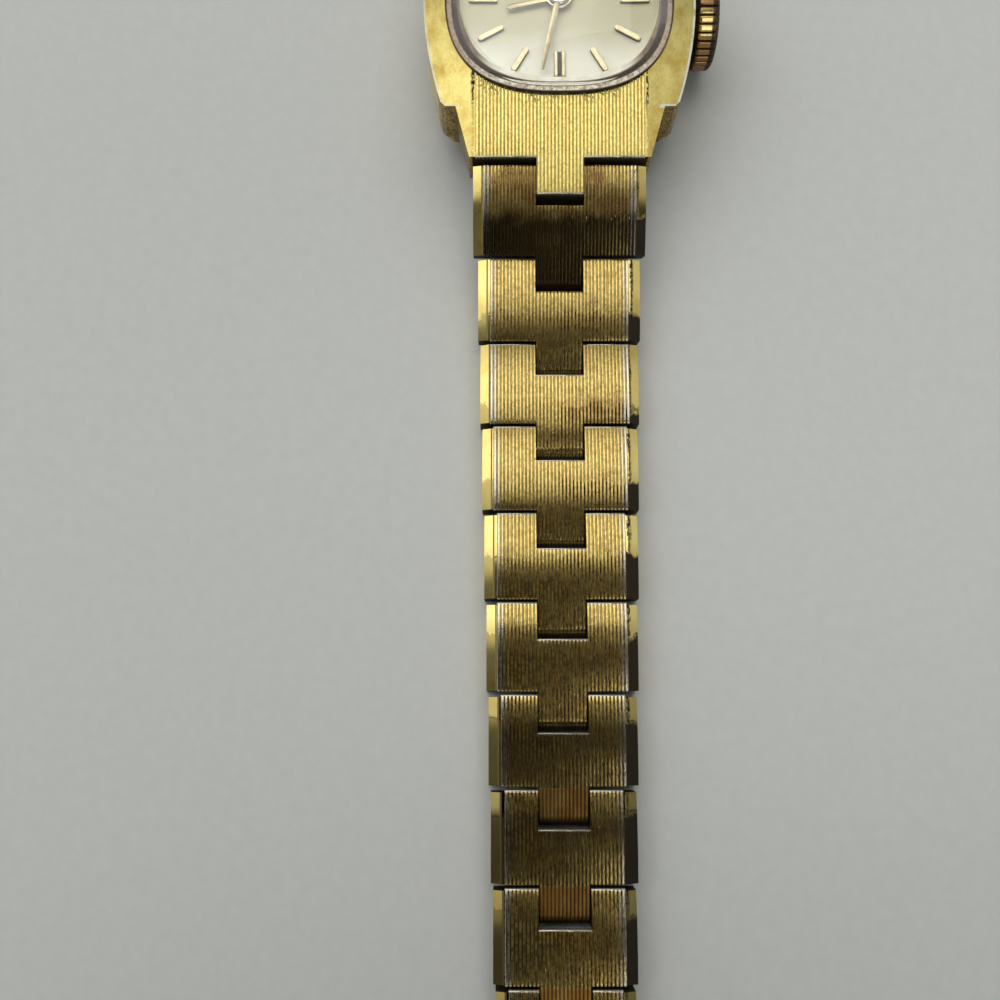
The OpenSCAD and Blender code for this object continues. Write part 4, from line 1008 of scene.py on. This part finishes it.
def makeBatons():
    bars = []
    for hour in range(12):
        turn = Matrix.Rotation(math.pi / 6 * hour, 4, "Z")
        start, long, high = batonStart(hour), dial["batonLong"], dial["batonHigh"]
        if hour % 3 == 0:
            wide = dial["doubleWide"]
            bars.append(moved(roundedBar(start, long, wide / 3, high, wide / 3), turn))
            bars.append(moved(roundedBar(start, long, wide / 3, high, -wide / 3), turn))
            bars.append(moved(roundedBar(start + 0.08, long - 0.16, wide * 0.7, high * 0.45), turn))
        else:
            bars.append(moved(roundedBar(start, long, dial["batonWide"], high), turn))
    batonGold = handGold("batonGold", 0.3, dial["shade"])
    batons = makePiece("batons", *joinParts(bars), batonGold, "case_body", "gold_case", False)
    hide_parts("hour_markers")


def makeInlays():
    black, tree, bsdf = startMaterial("inlayBlack")
    grain = noise(tree, 8, 3, 2.0)
    feed(tree, bsdf.inputs["Base Color"], mixColour(tree, grain, *dial["inlay"]))
    bsdf.inputs["Roughness"].default_value = 0.3
    bump(tree, bsdf, grain, 0.004, 0.4)
    strips = []
    for quarter in range(4):
        start = batonStart(3 * quarter)
        low = (start + 0.1, -0.097, dial["top"] + 0.06)
        high = (start + dial["batonLong"] - 0.1, 0.097, dial["top"] + 0.125)
        strips.append(moved(bevelledBar(low, high, 0.012), Matrix.Rotation(math.pi / 2 * quarter, 4, "Z")))
    makePiece("baton_inlays", *joinParts(strips), black, "case_body", "dial_silver", False)


def makeHands():
    gilt = handGold("handGilt", 0.24, dial["shade"])
    copper = handGold("bossCopper", 0.2)
    ringMetal = handGold("bossRing", 0.1)
    hourLift = Matrix.Translation((0, 0, dial["hourZ"]))
    minuteLift = Matrix.Translation((0, 0, dial["minuteZ"]))
    turnHour = hourLift @ Matrix.Rotation(-math.radians(dial["hourAngle"]), 4, "Z")
    turnMinute = minuteLift @ Matrix.Rotation(-math.radians(dial["minuteAngle"]), 4, "Z")
    blade = moved(handBlade(*dial["hourBlade"]), turnHour)
    hourHand = makePiece("hour_blade", *blade, gilt, "hour_arbor", "gold_case", False)
    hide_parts("hour_hand")
    blade = moved(handBlade(*dial["minuteBlade"]), turnMinute)
    minuteHand = makePiece("minute_blade", *blade, gilt, "minute_arbor", "gold_case", False)
    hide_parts("minute_hand")
    boss = moved(lathe(dial["hourBoss"], 48), hourLift)
    makePiece("hour_boss", *boss, ringMetal, "hour_arbor", "gold_case")
    boss = moved(lathe(dial["minuteBoss"], 48), minuteLift)
    makePiece("minute_boss", *boss, ringMetal, "minute_arbor", "gold_case")
    cap = moved(lathe(dial["cap"], 40), minuteLift)
    makePiece("hub_cap", *cap, copper, "minute_arbor", "gold_case")


dressNode("dial", dialSilver())
makeBatons()
makeInlays()
makeHands()
print("dial dressed")


# case back, movement and the clasp's cover

movement = {
    # finish: colour, roughness, stretch of the brushing, seed, share left in the dull parts, and nodes
    "backSteel": ((0.62, 0.61, 0.58), 0.25, (1, 0.08, 1), 3.0, (0.5, 0.5, 0.5),
                  ["case_back", "movement_ring"]),
    "bridgeGilt": ((0.70, 0.66, 0.56), 0.22, (0.1, 1, 1), 5.0, (0.5, 0.5, 0.5),
                   ["barrel_bridge", "train_bridge", "balance_cock", "pallet_bridge"]),
    "wheelBrass": ((0.78, 0.60, 0.28), 0.2, (1, 0.3, 1), 7.0, (0.7, 0.66, 0.6),
                   ["center_wheel", "third_wheel", "fourth_wheel", "balance_wheel", "minute_wheel",
                    "hour_wheel", "barrel", "crown_tube"]),
    "partSteel": ((0.60, 0.61, 0.63), 0.18, (0.3, 1, 1), 9.0, (0.5, 0.5, 0.5),
                  ["winding_stem", "winding_pinion", "sliding_pinion", "crown_wheel", "ratchet_wheel",
                   "barrel_arbor", "click", "movement_screws", "escape_wheel", "pallet_fork",
                   "cannon_pinion"]),
    "springSteel": ((0.20, 0.24, 0.36), 0.2, (1, 1, 0.2), 11.0, (0.5, 0.5, 0.5),
                    ["mainspring", "hairspring"]),
    "plateBrass": ((0.74, 0.58, 0.30), 0.28, (1, 1, 1), 13.0, (0.75, 0.7, 0.62), ["mainplate"]),
}
rubyTones = ((0.55, 0.02, 0.10), (0.75, 0.06, 0.2))


def dressMovement():
    for finish, (colour, rough, stretch, seed, dull, names) in movement.items():
        material = brushedMetal(finish, colour, rough, stretch, seed, dull)
        for name in names:
            dressNode(name, material)
    stone, tree, bsdf = startMaterial("ruby")
    depth = noise(tree, 3, 2, 1.0)
    feed(tree, bsdf.inputs["Base Color"], mixColour(tree, depth, *rubyTones))
    bsdf.inputs["Roughness"].default_value = 0.08
    dressNode("jewels", stone)
    dressNode("clasp_cover", wornGold("coverGold", 71.0, 0.3, "strips", 0.16))


dressMovement()
print("movement dressed")


# floor, light and camera

stage = {
    "floor": (0.55, 0.557, 0.525),
    "floorHalf": 1500,
    "card": (-31, -96, -34, 12.5, 62),    # north, south, west and east edge and height of the black card
    "cardBlack": ((0.004, 0.004, 0.004), (0.012, 0.011, 0.010)),
    # light of the room: dark to the south, bright overhead, brightest just north of there
    "worldTint": (0.97, 0.985, 1.0, 1),
    "worldSouth": 0.10,
    "worldTop": 0.92,
    "worldNorth": 1.45,
    "worldFarNorth": 0.42,
    "worldEast": 0.40,
    "worldLow": 0.50,
    "worldDoor": 1.4,
    "worldFarSouth": 0.18,
    "lampPlace": (-0.10, 0.30, 0.54),    # metres
    "lampTarget": (0, -0.02, 0),
    "lampSize": (1.0, 0.5),
    "lampPower": 2.5,
    "lens": 38.95,
    "cameraPlace": (-3.27, -38.65, 58.8),
    "cameraTilt": 10.8,
}


def flatSheet(name, x0, x1, y0, y1, z, material):
    mesh = bpy.data.meshes.new(name)
    corners = [(x0, y0, z), (x1, y0, z), (x1, y1, z), (x0, y1, z)]
    mesh.from_pydata([tuple(c * mm for c in corner) for corner in corners], [], [(0, 1, 2, 3)])
    mesh.materials.append(material)
    return addObject(name, mesh)


def makeFloor():
    material, tree, bsdf = startMaterial("paleFloor")
    fine = noise(tree, 1.6, 3, 2.0)
    deeper = tuple(c * 0.965 for c in stage["floor"])
    tone = mixColour(tree, rise(tree, fine, 0.3, 0.7), stage["floor"], deeper)
    feed(tree, bsdf.inputs["Base Color"], tone)
    bsdf.inputs["Roughness"].default_value = 0.6
    bsdf.inputs["Specular IOR Level"].default_value = 0.25
    bump(tree, bsdf, fine, 0.01, 0.2)
    half = stage["floorHalf"]
    floor = flatSheet("floor", -half, half, -half, half, -0.01, material)


def makeWorld():
    world = bpy.data.worlds.new("studio")
    bpy.context.scene.world = world
    world.use_nodes = True
    tree = world.node_tree
    tree.nodes.clear()
    output = tree.nodes.new("ShaderNodeOutputWorld")
    light = tree.nodes.new("ShaderNodeBackground")
    tree.links.new(light.outputs[0], output.inputs[0])
    coord = tree.nodes.new("ShaderNodeTexCoord")
    east, north, up = split(tree, coord.outputs["Generated"])
    glow = rise(tree, north, -0.14, -0.04, stage["worldSouth"], stage["worldTop"])
    brightest = rise(tree, north, -0.02, 0.20, 0.0, stage["worldNorth"] - stage["worldTop"])
    fade = rise(tree, north, 0.30, 0.70, 0.0, stage["worldNorth"] - stage["worldFarNorth"])
    back = rise(tree, north, -0.60, -0.85, 0.0, stage["worldFarSouth"])
    strength = calc(tree, "SUBTRACT", calc(tree, "ADD", glow, brightest), fade)
    strength = product(tree, calc(tree, "ADD", strength, back), rise(tree, up, -0.1, 0.45, 0.55, 1.0),
                       rise(tree, east, 0.12, 0.42, 1.0, stage["worldEast"]))
    # a lit doorway low in the south-east
    door = product(tree, rise(tree, north, -0.34, -0.40), rise(tree, north, -0.84, -0.78),
                   stage["worldDoor"], rise(tree, east, 0.09, 0.14), rise(tree, east, 0.45, 0.35))
    strength = calc(tree, "ADD", strength, door)
    strength = largest(tree, strength, rise(tree, up, 0.40, 0.10, 0.0, stage["worldLow"]))
    light.inputs["Color"].default_value = stage["worldTint"]
    tree.links.new(strength, light.inputs["Strength"])


def makeLamp():
    data = bpy.data.lights.new("northWindow", "AREA")
    data.shape = "RECTANGLE"
    data.size, data.size_y = stage["lampSize"]
    data.energy = stage["lampPower"]
    lamp = addObject("northWindow", data)
    lamp.location = stage["lampPlace"]
    aim = Vector(stage["lampTarget"]) - Vector(stage["lampPlace"])
    lamp.rotation_euler = aim.to_track_quat("-Z", "Y").to_euler()
    lamp.visible_glossy = False


def makeCard():
    # a black card over the bracelet: only reflections show it
    material, tree, bsdf = startMaterial("blackCard")
    weave = noise(tree, 0.5, 2, 1.0)
    feed(tree, bsdf.inputs["Base Color"], mixColour(tree, weave, *stage["cardBlack"]))
    bsdf.inputs["Roughness"].default_value = 0.9
    bsdf.inputs["Specular IOR Level"].default_value = 0.0
    north, south, west, east, height = stage["card"]
    flag = flatSheet("flag", west, east, south, north, height, material)
    flag.visible_camera = False
    flag.visible_transmission = False


makeFloor()
makeWorld()
makeCard()
makeLamp()

cameraData = bpy.data.cameras.new("camera")
cameraData.lens = stage["lens"]
cameraData.sensor_width = 36
cameraData.clip_start = 0.005
camera = addObject("camera", cameraData)
camera.location = [c * mm for c in stage["cameraPlace"]]
camera.rotation_euler = (math.radians(stage["cameraTilt"]), 0, 0)
bpy.context.scene.camera = camera
bpy.context.scene.view_settings.view_transform = "Standard"
print("stage set")
